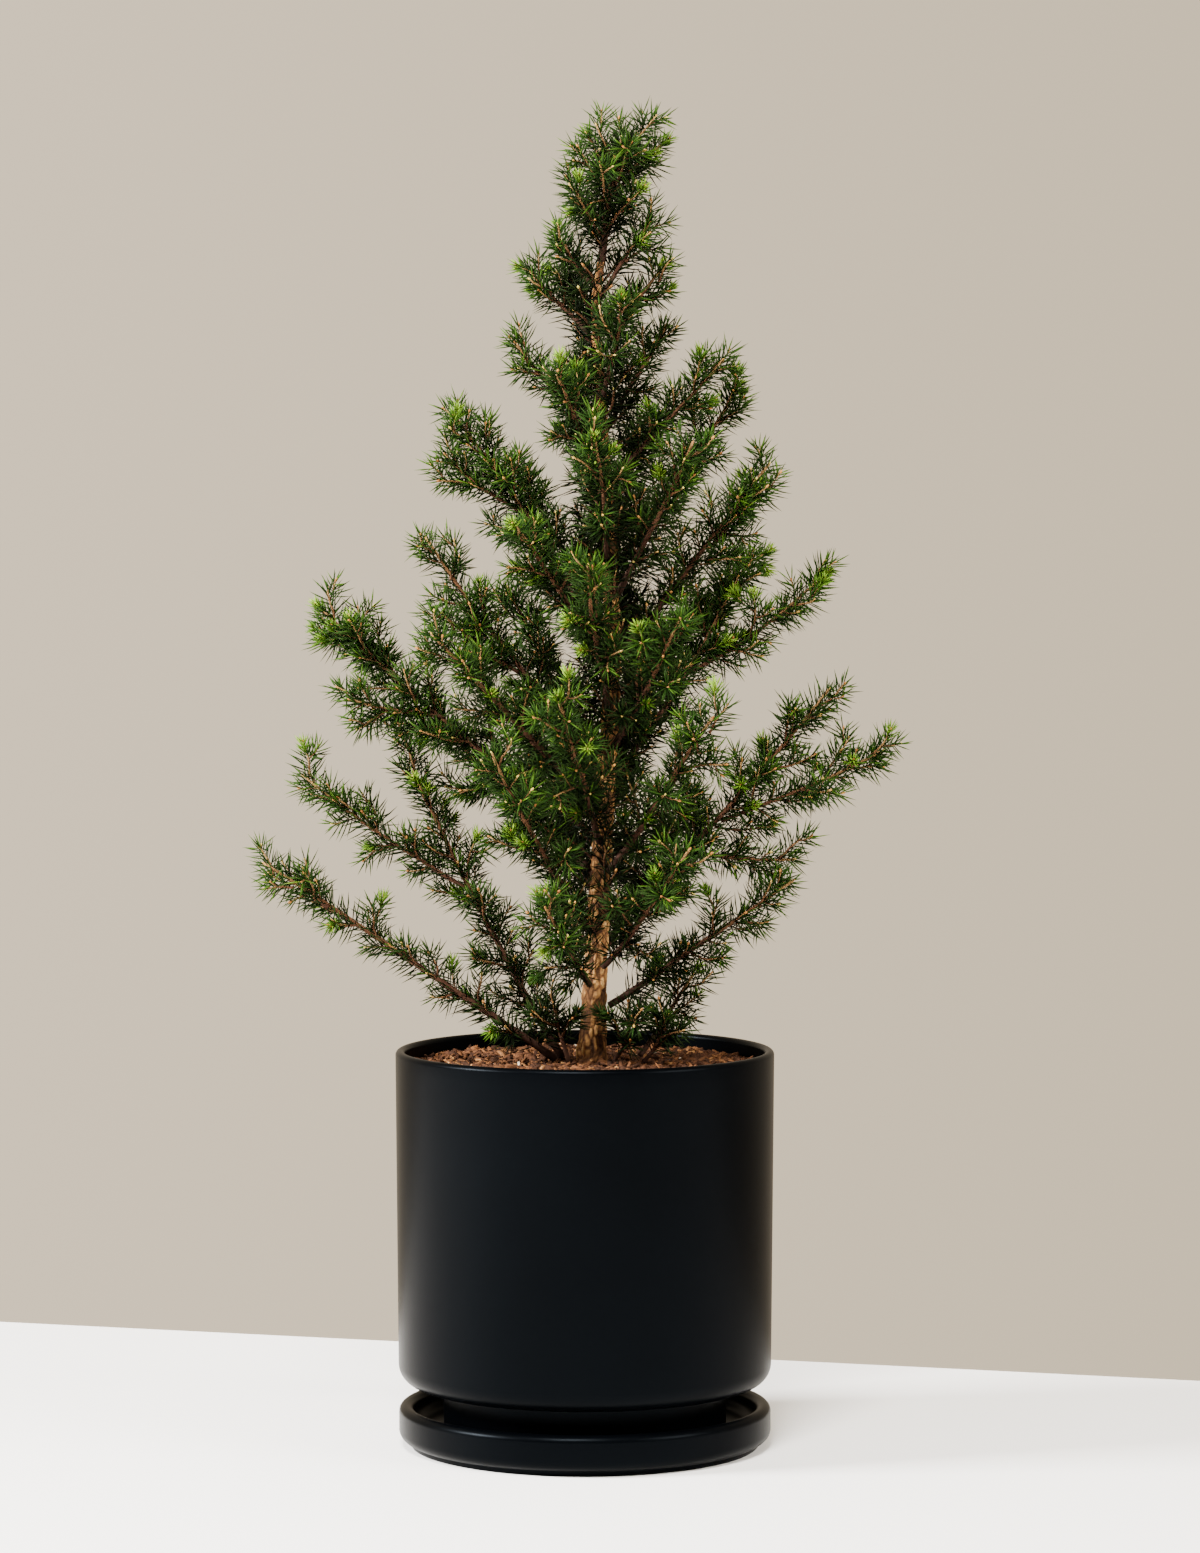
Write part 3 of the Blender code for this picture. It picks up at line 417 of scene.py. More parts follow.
def grow_crown():
    """All the boughs: first the stems, then the forks, then the twigs, in the order the tables list them."""
    chance = random.Random(SEED)
    crown = Crown()
    shares = [0.05 * i for i in range(21)]
    line = [trunk_point(share) for share in shares]
    still = np.array([line] * len(crown.angles))
    for i in range(len(shares) - 1):
        crown.add(still[:, i:i + 2], trunk_radius(shares[i]), -1)
    boughs = []
    for name, place, *rest in TRUNK_BOUGHS:
        boughs.append(Bough(len(boughs), name, trunk_root(place), *rest))
    for name, place, *rest in GROUND_BOUGHS:
        boughs.append(Bough(len(boughs), name, ground_root(place), *rest))
    for bough in boughs:
        for lift, turn in itertools.product(STEM_LIFTS, STEM_TURNS):
            bough.lay_stem(turn, lift)
            if bough.has_room(crown, boughs[:bough.index]):
                break
        crown.add(bough.bends(bough.stem, crown), SPRAY_RADIUS, bough.index)
    for bough in boughs:
        for share, azimuth, reach, rise in bough.fork_sizes:
            start, _ = along(bough.stem, share)
            for turn in FORK_TURNS:
                fork = shoot_path(start, azimuth + turn, reach * MM, rise * MM, 0.2, 3)
                if crown.clear(bough.bends(fork, crown), SPRAY_RADIUS, bough.index):
                    bough.forks.append(fork)
                    crown.add(bough.bends(fork, crown), SPRAY_RADIUS, bough.index)
                    break
    for bough in boughs:
        grow_twigs(bough, bough.stem, bough.longest_twig, crown, chance)
        for fork in bough.forks:
            grow_twigs(bough, fork, 0.8 * bough.longest_twig, crown, chance)
    return boughs, crown, chance


def leader_shoots(crown, chance):
    """The leader's line above the bark, and the twigs round it."""
    line = [trunk_point(LEADER_START + (1.0 - LEADER_START) * i / 4) for i in range(5)]
    twigs = []
    roll = 0.0
    for k in range(LEADER_TWIGS):
        share = 0.10 + 0.74 * k / (LEADER_TWIGS - 1)
        roll += 137.5
        twig = twig_path(line, share, roll, 58.0 - 12.0 * share,
                         LEADER_TWIG * (1.0 - 0.15 * share) * chance.uniform(0.9, 1.1))
        rows = np.array([twig] * len(crown.angles))
        if crown.clear(rows, SPRAY_RADIUS, -1):
            twigs.append(twig)
            crown.add(rows, SPRAY_RADIUS, -1)
    return line, twigs


# ---------------------------------------------------------------- meshes from arrays

UP = np.array((0.0, 0.0, 1.0))


def mesh_object(name, verts, faces, tint=None, smooth=True):
    """An object from arrays of corners and of triangles, with an optional colour at each corner."""
    mesh = bpy.data.meshes.new(name)
    mesh.vertices.add(len(verts))
    mesh.vertices.foreach_set("co", np.asarray(verts, np.float32).ravel())
    mesh.loops.add(faces.size)
    mesh.loops.foreach_set("vertex_index", np.asarray(faces, np.int32).ravel())
    mesh.polygons.add(len(faces))
    mesh.polygons.foreach_set("loop_start", np.arange(0, faces.size, 3, dtype=np.int32))
    mesh.update(calc_edges=True)
    mesh.validate()
    if smooth:
        mesh.shade_smooth()
    if tint is not None:
        layer = mesh.color_attributes.new("tint", "FLOAT_COLOR", "POINT")
        layer.data.foreach_set("color", np.asarray(tint, np.float32).ravel())
    obj = bpy.data.objects.new(name, mesh)
    bpy.context.scene.collection.objects.link(obj)
    return obj


class Soup:
    """Closed pieces gathered into one mesh, each with its own tint."""

    def __init__(self):
        self.verts, self.faces, self.tints, self.count = [], [], [], 0

    def add(self, verts, faces, tint):
        self.verts.append(verts)
        self.faces.append(faces + self.count)
        self.tints.append(np.broadcast_to(tint, (len(verts), 4)))
        self.count += len(verts)

    def build(self, name, smooth=True):
        return mesh_object(name, np.concatenate(self.verts), np.concatenate(self.faces),
                           np.concatenate(self.tints), smooth)


def unit(vectors):
    return vectors / np.maximum(np.linalg.norm(vectors, axis=-1, keepdims=True), 1e-12)


def tangents(points):
    return unit(np.gradient(points, axis=0))


def side_frames(directions):
    """Two directions square to each one given."""
    reference = np.where(np.abs(directions[..., 2:3]) > 0.92, np.array((0.0, 1.0, 0.0)), UP)
    across = unit(np.cross(directions, reference))
    return across, np.cross(across, directions)


def tube(points, radii, sides, bumps=0.0, chance=None):
    """A closed tube with rounded ends along points; bumps roughens it."""
    across, up = side_frames(tangents(points))
    angles = np.arange(sides) * 2.0 * math.pi / sides
    ring = (across[:, None] * np.cos(angles)[None, :, None] + up[:, None] * np.sin(angles)[None, :, None])
    sizes = np.asarray(radii)[:, None] * np.ones((1, sides))
    if bumps:
        sizes = sizes * (1.0 + bumps * chance.uniform(-1.0, 1.0, sizes.shape))
    verts = (points[:, None] + ring * sizes[..., None]).reshape(-1, 3)
    count = len(points)
    verts = np.concatenate([verts, points[:1], points[-1:]])
    i = np.arange(count - 1)[:, None] * sides
    k = np.arange(sides)[None, :]
    j = (k + 1) % sides
    low = np.stack([i + k, i + sides + j, i + j], axis=-1).reshape(-1, 3)
    high = np.stack([i + k, i + sides + k, i + sides + j], axis=-1).reshape(-1, 3)
    k = np.arange(sides)
    j = (k + 1) % sides
    first, last = count * sides, count * sides + 1
    foot = np.stack([np.full(sides, first), k, j], axis=-1)
    head = np.stack([np.full(sides, last), (count - 1) * sides + j, (count - 1) * sides + k], axis=-1)
    return verts, np.concatenate([low, high, foot, head])[:, ::-1]


def smooth_path(points, count):
    """A smooth path of many points through a few, evenly stepped."""
    points = np.array([tuple(p) for p in points])
    padded = np.concatenate([2 * points[:1] - points[1:2], points, 2 * points[-1:] - points[-2:-1]])
    place = np.linspace(0.0, len(points) - 1.0001, count)
    i = place.astype(int)
    t = (place - i)[:, None]
    a, b, c, d = padded[i], padded[i + 1], padded[i + 2], padded[i + 3]
    return 0.5 * (2 * b + (c - a) * t + (2 * a - 5 * b + 4 * c - d) * t ** 2
                  + (3 * b - a - 3 * c + d) * t ** 3)


def at_share(points, share):
    """Points and directions at fractions of a path."""
    share = np.clip(share, 0.0, 0.99999)
    place = share * (len(points) - 1)
    i = place.astype(int)
    t = (place - i)[..., None]
    ways = tangents(points)
    return points[i] * (1 - t) + points[i + 1] * t, unit(ways[i] * (1 - t) + ways[i + 1] * t)


# ---------------------------------------------------------------- materials

DULL = 0.08                     # specular level of wood, bark, mulch and other matte stuff


class Shader:
    """A node material under construction."""

    def __init__(self, name, specular=0.5):
        self.material = bpy.data.materials.new(name)
        self.material.use_nodes = True
        self.nodes = self.material.node_tree.nodes
        self.links = self.material.node_tree.links
        self.principled = self.nodes["Principled BSDF"]
        self.set(Specular_IOR_Level=specular)
        self.place = self.nodes.new("ShaderNodeTexCoord").outputs["Object"]

    def link(self, output, socket):
        self.links.new(output, socket)

    def set(self, **values):
        for name, value in values.items():
            self.principled.inputs[name.replace("_", " ")].default_value = value

    def noise(self, scale, detail=4.0, roughness=0.55, source=None, stretch=None):
        node = self.nodes.new("ShaderNodeTexNoise")
        node.inputs["Scale"].default_value = scale
        node.inputs["Detail"].default_value = detail
        node.inputs["Roughness"].default_value = roughness
        if stretch:
            mapping = self.nodes.new("ShaderNodeMapping")
            mapping.inputs["Scale"].default_value = stretch
            self.link(source or self.place, mapping.inputs["Vector"])
            self.link(mapping.outputs["Vector"], node.inputs["Vector"])
        else:
            self.link(source or self.place, node.inputs["Vector"])
        return node.outputs["Fac"]

    def voronoi(self, scale, feature="F1", output="Distance"):
        node = self.nodes.new("ShaderNodeTexVoronoi")
        node.feature = feature
        node.inputs["Scale"].default_value = scale
        self.link(self.place, node.inputs["Vector"])
        return node.outputs[output]

    def tint(self):
        """The tint's red, green and blue, as separate values."""
        source = self.nodes.new("ShaderNodeAttribute")
        source.attribute_name = "tint"
        split = self.nodes.new("ShaderNodeSeparateColor")
        self.link(source.outputs["Color"], split.inputs["Color"])
        return split.outputs["Red"], split.outputs["Green"], split.outputs["Blue"]

    def ramp(self, factor, stops):
        node = self.nodes.new("ShaderNodeValToRGB")
        elements = node.color_ramp.elements
        while len(elements) < len(stops):
            elements.new(0.5)
        for element, (position, colour) in zip(elements, stops):
            element.position = position
            element.color = (*colour, 1.0) if isinstance(colour, tuple) else (colour, colour, colour, 1.0)
        self.link(factor, node.inputs["Fac"])
        return node.outputs["Color"]

    def mix(self, factor, first, second, blend="MIX"):
        node = self.nodes.new("ShaderNodeMix")
        node.data_type = "RGBA"
        node.blend_type = blend
        for value, socket in ((factor, node.inputs[0]), (first, node.inputs[6]), (second, node.inputs[7])):
            if isinstance(value, (float, int)):
                socket.default_value = value
            elif isinstance(value, tuple):
                socket.default_value = (*value, 1.0)
            else:
                self.link(value, socket)
        return node.outputs[2]

    def math(self, operation, first, second):
        node = self.nodes.new("ShaderNodeMath")
        node.operation = operation
        for value, socket in ((first, node.inputs[0]), (second, node.inputs[1])):
            if isinstance(value, (float, int)):
                socket.default_value = value
            else:
                self.link(value, socket)
        return node.outputs[0]

    def colour(self, output):
        self.link(output, self.principled.inputs["Base Color"])

    def roughness(self, factor, low, high):
        self.link(self.ramp(factor, ((0.0, low), (1.0, high))), self.principled.inputs["Roughness"])

    def bump(self, height, strength, distance, under=None):
        node = self.nodes.new("ShaderNodeBump")
        node.inputs["Strength"].default_value = strength
        node.inputs["Distance"].default_value = distance
        self.link(height, node.inputs["Height"])
        if under:
            self.link(under, node.inputs["Normal"])
        self.link(node.outputs["Normal"], self.principled.inputs["Normal"])
        return node.outputs["Normal"]


def needle_material():
    """Needles: the tint's red goes from old to new growth and is lowered by painted shade near the trunk, its
    blue from a needle's base to its tip.
    """
    s = Shader("needles", 0.035)
    age, chance, along_needle = s.tint()
    base = s.ramp(age, ((0.0, (0.0002, 0.0005, 0.0003)), (0.2, (0.0005, 0.0017, 0.0008)),
                        (0.4, (0.0017, 0.0075, 0.0018)), (0.6, (0.0075, 0.029, 0.0035)),
                        (0.8, (0.056, 0.125, 0.008)), (1.0, (0.24, 0.38, 0.03))))
    varied = s.mix(s.math("MULTIPLY", chance, 0.16), base, (0.050, 0.080, 0.012))
    young_tip = s.math("MULTIPLY", s.math("MULTIPLY", along_needle, age), 0.22)
    tipped = s.mix(young_tip, varied, (0.12, 0.21, 0.020))
    patch = s.noise(160.0, 2.0)
    s.colour(s.mix(s.math("MULTIPLY", patch, 0.5), tipped, (0.0006, 0.0015, 0.0005)))
    s.roughness(s.noise(500.0, 2.0), 0.42, 0.62)
    return s.material


def wood_material():
    """Stems, twigs and buds: the tint's red goes from old wood to young shoot, its blue marks buds."""
    s = Shader("twig_bark", DULL)
    age, chance, bud = s.tint()
    base = s.ramp(age, ((0.0, (0.026, 0.012, 0.008)), (0.35, (0.050, 0.020, 0.011)),
                        (0.7, (0.10, 0.043, 0.018)), (1.0, (0.32, 0.19, 0.065))))
    scaly = s.noise(900.0, 3.0, 0.7)
    dark = s.mix(s.ramp(scaly, ((0.45, 0.0), (0.68, 0.65))), base, (0.022, 0.012, 0.007))
    buds = s.ramp(chance, ((0.0, (0.20, 0.075, 0.02)), (0.5, (0.36, 0.16, 0.04)), (1.0, (0.42, 0.34, 0.08))))
    s.colour(s.mix(bud, dark, buds))
    s.roughness(scaly, 0.6, 0.9)
    s.bump(scaly, 0.6, 0.0004)
    return s.material


def bark_material():
    """Flaky bark: the tint's red is how far a plate stands out, its green varies from plate to plate."""
    s = Shader("trunk_bark", 0.10)
    height, plate, _ = s.tint()
    base = s.ramp(height, ((0.0, (0.020, 0.010, 0.007)), (0.35, (0.140, 0.060, 0.020)),
                           (0.7, (0.46, 0.235, 0.070)), (1.0, (0.76, 0.50, 0.19))))
    grain = s.noise(420.0, 5.0, 0.7, stretch=(1.0, 1.0, 0.35))
    weathered = s.mix(s.ramp(grain, ((0.45, 0.0), (0.75, 0.6))), base, (0.085, 0.046, 0.026))
    s.colour(s.mix(s.math("MULTIPLY", plate, 0.5), weathered, (0.21, 0.085, 0.035)))
    s.roughness(grain, 0.75, 0.95)
    s.bump(s.noise(1400.0, 4.0, 0.7), 0.7, 0.0006)
    return s.material


def glaze_material():
    """Matte near-black glaze with a faint blue cast, fine tooth and very small specks."""
    s = Shader("matte_glaze", 0.024)
    cloud = s.noise(14.0, 3.0)
    fine = s.noise(900.0, 3.0, 0.6)
    base = s.ramp(cloud, ((0.3, (0.0003, 0.0004, 0.0006)), (0.7, (0.0005, 0.0007, 0.0010))))
    specks = s.ramp(s.voronoi(420.0), ((0.0, 0.30), (0.10, 0.0)))
    s.colour(s.mix(specks, base, (0.004, 0.005, 0.006)))
    s.roughness(s.mix(0.5, cloud, fine), 0.27, 0.37)
    under = s.bump(s.noise(55.0, 3.0), 0.05, 0.0006)
    s.bump(fine, 0.10, 0.0002, under)
    s.set(Specular_Tint=(0.70, 0.85, 1.0, 1.0))
    return s.material


def bed_material():
    s = Shader("mulch_bed", DULL)
    coarse = s.noise(260.0, 6.0, 0.7)
    s.colour(s.ramp(coarse, ((0.30, (0.008, 0.004, 0.003)), (0.55, (0.045, 0.018, 0.010)),
                             (0.78, (0.13, 0.060, 0.030)))))
    s.roughness(coarse, 0.85, 1.0)
    s.bump(s.noise(900.0, 4.0, 0.7), 1.0, 0.0012)
    return s.material


def chip_material():
    s = Shader("bark_chips", DULL)
    shade, _, pale = s.tint()
    base = s.ramp(shade, ((0.0, (0.010, 0.004, 0.002)), (0.4, (0.052, 0.019, 0.008)),
                          (0.75, (0.17, 0.066, 0.022)), (1.0, (0.48, 0.24, 0.085))))
    fibres = s.noise(700.0, 5.0, 0.75)
    worn = s.mix(s.ramp(fibres, ((0.38, 0.0), (0.7, 0.7))), base, (0.06, 0.028, 0.016))
    s.colour(s.mix(pale, worn, (0.55, 0.45, 0.33)))
    s.roughness(fibres, 0.8, 1.0)
    s.bump(fibres, 0.8, 0.0006)
    return s.material


def plain_material(name, dark, light, scale, low, high, depth, metallic=0.0, stretch=None):
    """A material whose colour, roughness and bump follow one noise."""
    s = Shader(name, DULL)
    field = s.noise(scale, 5.0, 0.6, stretch=stretch)
    s.colour(s.ramp(field, ((0.3, dark), (0.7, light))))
    s.roughness(field, low, high)
    s.bump(s.noise(scale * 3.0, 4.0, 0.6, stretch=stretch), 0.5, depth)
    s.set(Metallic=metallic)
    return s.material


# ---------------------------------------------------------------- shoots with needles

NEEDLE_LENGTH = 10.6 * MM
NEEDLE_RADIUS = 0.35 * MM
NEEDLES_PER_METRE = 2350.0
SHADED_WITHIN = 62.0 * MM       # how near the trunk the needles are darkened with painted shade
FRESH_CHANCE = 0.10             # of new growth at a shoot's tip
SIDE_SHOOT_SPACING = 6.5 * MM
TRUNK_SPRIGS = 135
LEAF_DENSITY = {"left_1": 0.75, "right_1": 0.8}   # boughs with fewer needles than the rest
GOLDEN_ANGLE = math.radians(137.508)
FULL_TURN = 6.28                # radians, for draws that go all round
TRUNK_LINE = np.array([tuple(trunk_point(share)) for share in np.linspace(0.0, 1.0, 60)])


def line_length(path):
    return float(np.linalg.norm(np.diff(path, axis=0), axis=1).sum())


def sunlit(spots):
    """How far out of the tree's shaded heart each spot is, from 0 to 1."""
    centre_x = np.interp(spots[:, 2], TRUNK_LINE[:, 2], TRUNK_LINE[:, 0])
    centre_y = np.interp(spots[:, 2], TRUNK_LINE[:, 2], TRUNK_LINE[:, 1])
    up_tree = np.clip((spots[:, 2] - TRUNK_LINE[0, 2]) / TREE_HEIGHT, 0.0, 1.0)
    reach = SHADED_WITHIN * (1.0 - 0.78 * up_tree)
    return np.clip(np.hypot(spots[:, 0] - centre_x, spots[:, 1] - centre_y) / reach, 0.0, 1.0)


def needles_on(soup, path, chance, wood_radius, start=0.0, density=1.0, length=NEEDLE_LENGTH,
               age=(0.3, 0.5), sparse_until=0.0, spread_deg=62.0):
    """Needles spiralling up a shoot, closing forwards into a tuft at its tip."""
    shoot_length = line_length(path)
    count = max(int(shoot_length * (1.0 - start) * NEEDLES_PER_METRE * density), 8)
    share = start + (1.0 - start) * (np.arange(count) + chance.uniform(-0.4, 0.4, count)) / count
    share = np.clip(share, start, 1.0)
    if sparse_until > start:
        past_bare = np.clip((share - start) / (sparse_until - start), 0, 1)
        kept = chance.uniform(size=count) < 0.25 + 0.75 * past_bare
        share = share[kept]
        count = len(share)
    spots, ways = at_share(path, share)
    across, up = side_frames(ways)
    roll = np.arange(count) * GOLDEN_ANGLE + chance.uniform(-0.35, 0.35, count)
    out = across * np.cos(roll)[:, None] + up * np.sin(roll)[:, None]
    to_tip = (1.0 - share) * shoot_length
    closing = np.exp(-to_tip / (3.0 * MM))
    spread = np.radians(chance.normal(spread_deg, 8.0, count) - 0.5 * spread_deg * closing)
    aim = ways * np.cos(spread)[:, None] + out * np.sin(spread)[:, None]
    sizes = length * chance.uniform(0.78, 1.12, count) * (1.0 - 0.30 * closing)
    base = spots + out * (wood_radius * 0.7)
    bend = ways * (chance.uniform(0.0, 0.10, count) * sizes)[:, None]
    middle = base + aim * (sizes * 0.55)[:, None] + bend * 0.25
    tip = base + aim * sizes[:, None] + bend
    across, up = side_frames(aim)
    width = NEEDLE_RADIUS * chance.uniform(0.85, 1.15, count)
    corners = []
    for centre, share_of_width in ((base, 0.62), (middle, 1.0)):
        for k in range(3):
            angle = 2.0 * math.pi * k / 3 + roll
            side = across * np.cos(angle)[:, None] + up * np.sin(angle)[:, None]
            corners.append(centre + side * (width * share_of_width)[:, None])
    corners.append(tip)
    verts = np.stack(corners, axis=1).reshape(-1, 3)
    pattern = [(0, 2, 1)]
    for k in range(3):
        j = (k + 1) % 3
        pattern += [(k, j, 3 + j), (k, 3 + j, 3 + k), (3 + k, 3 + j, 6)]
    faces = (np.array(pattern)[None] + 7 * np.arange(count)[:, None, None]).reshape(-1, 3)
    old, young = age
    ages = old + (young - old) * share + 0.10 * closing + chance.normal(0.0, 0.05, count)
    # painted shade: needles near the trunk are darkened, over a wider reach low in the tree
    ages = ages * (0.25 + 0.75 * sunlit(spots))
    tint = np.zeros((count, 7, 4))
    tint[:, :, 0] = np.clip(ages, 0.0, 1.0)[:, None]
    tint[:, :, 1] = chance.uniform(size=count)[:, None] ** 2
    tint[:, :, 2] = np.array((0.0, 0.0, 0.0, 0.35, 0.35, 0.35, 1.0))[None]
    tint[:, :, 3] = 1.0
    soup.add(verts, faces, tint.reshape(-1, 4))


def bud_on(soup, spot, way, chance, size):
    """A small pointed bud at a shoot's tip."""
    heights = np.array((-0.5, 0.1, 0.7, 1.25, 1.6)) * size
    radii = np.array((0.45, 0.62, 0.60, 0.34, 0.08)) * size
    verts, faces = tube(spot + way * heights[:, None], radii, 7)
    soup.add(verts, faces, np.array((0.8, chance.uniform(), 1.0, 1.0)))


def fresh_tuft(needles, wood, spot, way, chance):
    """New growth at a shoot's tip: softer, brighter needles that still point forwards."""
    length = chance.uniform(2.5, 5.0) * MM
    path = spot + way * np.linspace(-1.5 * MM, length, 5)[:, None]
    young = chance.uniform(0.66, 0.84)
    needles_on(needles, path, chance, 0.2 * MM, density=1.9, length=chance.uniform(5.5, 8.0) * MM,
               age=(young, young + 0.10), spread_deg=50.0)
    bud_on(wood, spot + way * length, way, chance, 0.6 * MM)


def wiggled(path, chance, amount, lift):
    """A path with a slight natural bend, turned up a little at its tip; its start stays."""
    share = np.linspace(0.0, 1.0, len(path))
    ways = tangents(path)
    across, up = side_frames(ways)
    phase = chance.uniform(0.0, FULL_TURN, 2)
    sway = np.sin(share * 5.2 + phase[0]) - math.sin(phase[0])
    nod = np.sin(share * 4.1 + phase[1]) - math.sin(phase[1])
    fade = np.minimum(share * 3.0, 1.0)
    return path + (across * (sway * fade)[:, None] + up * (nod * fade)[:, None]) * amount \
        + UP * (lift * share ** 2)[:, None]


def leafy_shoot(needles, wood, path, chance, radii, ages, leaf_ages, **leaves):
    """One shoot: its wood, its needles and what is at its tip."""
    share = np.linspace(0.0, 1.0, len(path))
    thickness = radii[0] + (radii[1] - radii[0]) * share
    verts, faces = tube(path, thickness, 7, 0.10, chance)
    shade = np.repeat(ages[0] + (ages[1] - ages[0]) * share, 7)
    tint = np.zeros((len(verts), 4))
    tint[:, 0] = np.concatenate([shade, shade[:1], shade[-1:]])
    tint[:, 1] = chance.uniform()
    tint[:, 3] = 1.0
    wood.add(verts, faces, tint)
    needles_on(needles, path, chance, float(thickness.mean()), age=leaf_ages, **leaves)
    spot, way = at_share(path, np.array([0.9999]))
    if chance.uniform() < FRESH_CHANCE:
        fresh_tuft(needles, wood, spot[0], way[0], chance)
    else:
        bud_on(wood, spot[0], way[0], chance, chance.uniform(0.6, 0.95) * MM)


def side_shoots(needles, wood, path, chance, start, length, leaf_ages, density):
    """Short shoots along a longer one, between the larger twigs."""
    shoot_length = line_length(path)
    count = int(shoot_length * (1.0 - start) / SIDE_SHOOT_SPACING * density)
    roll = chance.uniform(0.0, FULL_TURN)
    for k in range(count):
        share = start + (1.0 - start) * (k + chance.uniform(0.2, 0.8)) / count * 0.93
        spot, way = at_share(path, np.array([share]))
        across, up = side_frames(way)
        roll += GOLDEN_ANGLE + chance.uniform(-0.5, 0.5)
        spread = math.radians(chance.uniform(38.0, 60.0))
        out = across[0] * math.cos(roll) + up[0] * math.sin(roll)
        aim = way[0] * math.cos(spread) + out * math.sin(spread)
        reach = length * chance.uniform(0.6, 1.15)
        line = spot[0] + aim * np.linspace(0.0, reach, 6)[:, None]
        line = wiggled(line, chance, 0.4 * MM, 0.8 * MM)
        leafy_shoot(needles, wood, line, chance, (0.36 * MM, 0.26 * MM), (0.5, 0.95), leaf_ages, start=0.1,
                    density=density)


def dress(obj, material, body, slot_name, *nodes):
    """Gives a piece its material and body, and hides the CAD nodes that it stands for; slot_name is not used.
    """
    obj.data.materials.clear()
    obj.data.materials.append(material)
    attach(obj, body)
    if nodes:
        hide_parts(*nodes)


def dress_shoots(name, needles, wood, body, *nodes):
    dress(needles.build(name + "_needles"), MATERIALS["needles"], body, "foliage", *nodes)
    dress(wood.build(name + "_wood"), MATERIALS["wood"], body, "bark")


def build_spray(name, body, stem, forks, twigs, seed, wood_root, bare, density=1.0):
    """The wood and needles of one bough, or of the leader."""
    chance = np.random.default_rng(seed)
    needles, wood = Soup(), Soup()
    length = path_length(stem)
    main = wiggled(smooth_path(stem, 30), chance, 0.9 * MM, 1.5 * MM)
    leafy_shoot(needles, wood, main, chance, (wood_root, 0.6 * MM), (0.0, 0.85), (0.22, 0.55),
                start=0.5 * bare, sparse_until=bare, density=density)
    side_shoots(needles, wood, main, chance, min(0.6 * bare, 0.4), 10.5 * MM, (0.30, 0.60), density)
    for fork in forks:
        path = wiggled(smooth_path(fork, 16), chance, 0.8 * MM, 1.5 * MM)
        leafy_shoot(needles, wood, path, chance, (1.0 * MM, 0.5 * MM), (0.3, 0.9), (0.34, 0.6), start=0.1,
                    density=density)
        side_shoots(needles, wood, path, chance, 0.2, 10.0 * MM, (0.4, 0.65), density)
    for twig in twigs:
        outer = min(max((Vector(twig[0]) - stem[0]).length / length, 0.0), 1.0)
        path = wiggled(smooth_path(twig, 9), chance, 0.7 * MM, 1.6 * MM)
        ages = (0.26 + 0.18 * outer, 0.48 + 0.12 * outer)
        leafy_shoot(needles, wood, path, chance, (0.6 * MM, 0.34 * MM), (0.30 + 0.3 * outer, 0.95), ages,
                    start=0.08, density=density)
        if (twig[1] - twig[0]).length > SHORTEST_TWIG:
            side_shoots(needles, wood, path, chance, 0.25, 8.5 * MM, (ages[0] + 0.1, ages[1] + 0.08), density)
    dress_shoots(name, needles, wood, body, name)


# ---------------------------------------------------------------- turned pieces

LATHE_SIDES = 192
WALL_STEPS = 24                 # rings up the planter's wall


def lathe(name, outline, closed):
    """A fine turned piece from an outline of (radius, height); an open outline is capped on the axis."""
    outline = np.array(outline)
    angles = np.arange(LATHE_SIDES) * 2.0 * math.pi / LATHE_SIDES
    rings = np.stack([outline[:, 0, None] * np.cos(angles), outline[:, 0, None] * np.sin(angles),
                      outline[:, 1, None] * np.ones(LATHE_SIDES)], axis=-1)
    verts = rings.reshape(-1, 3)
    count = len(outline)
    i = np.arange(count if closed else count - 1)[:, None]
    n = (i + 1) % count
    k = np.arange(LATHE_SIDES)[None]
    j = (k + 1) % LATHE_SIDES
    a, b = i * LATHE_SIDES + k, i * LATHE_SIDES + j
    c, d = n * LATHE_SIDES + j, n * LATHE_SIDES + k
    faces = [np.stack([a, c, b], -1).reshape(-1, 3), np.stack([a, d, c], -1).reshape(-1, 3)]
    if not closed:
        ends = len(verts) + np.arange(2)
        verts = np.concatenate([verts, [(0.0, 0.0, outline[0, 1]), (0.0, 0.0, outline[-1, 1])]])
        k, j = k[0], j[0]
        last = (count - 1) * LATHE_SIDES
        faces.append(np.stack([np.full(LATHE_SIDES, ends[0]), k, j], -1))
        faces.append(np.stack([np.full(LATHE_SIDES, ends[1]), last + j, last + k], -1))
    obj = mesh_object(name, verts, np.concatenate(faces))
    bm = bmesh.new()
    bm.from_mesh(obj.data)
    bmesh.ops.recalc_face_normals(bm, faces=bm.faces)
    bm.to_mesh(obj.data)
    bm.free()
    obj.data.set_sharp_from_angle(angle=math.radians(35))
    return obj


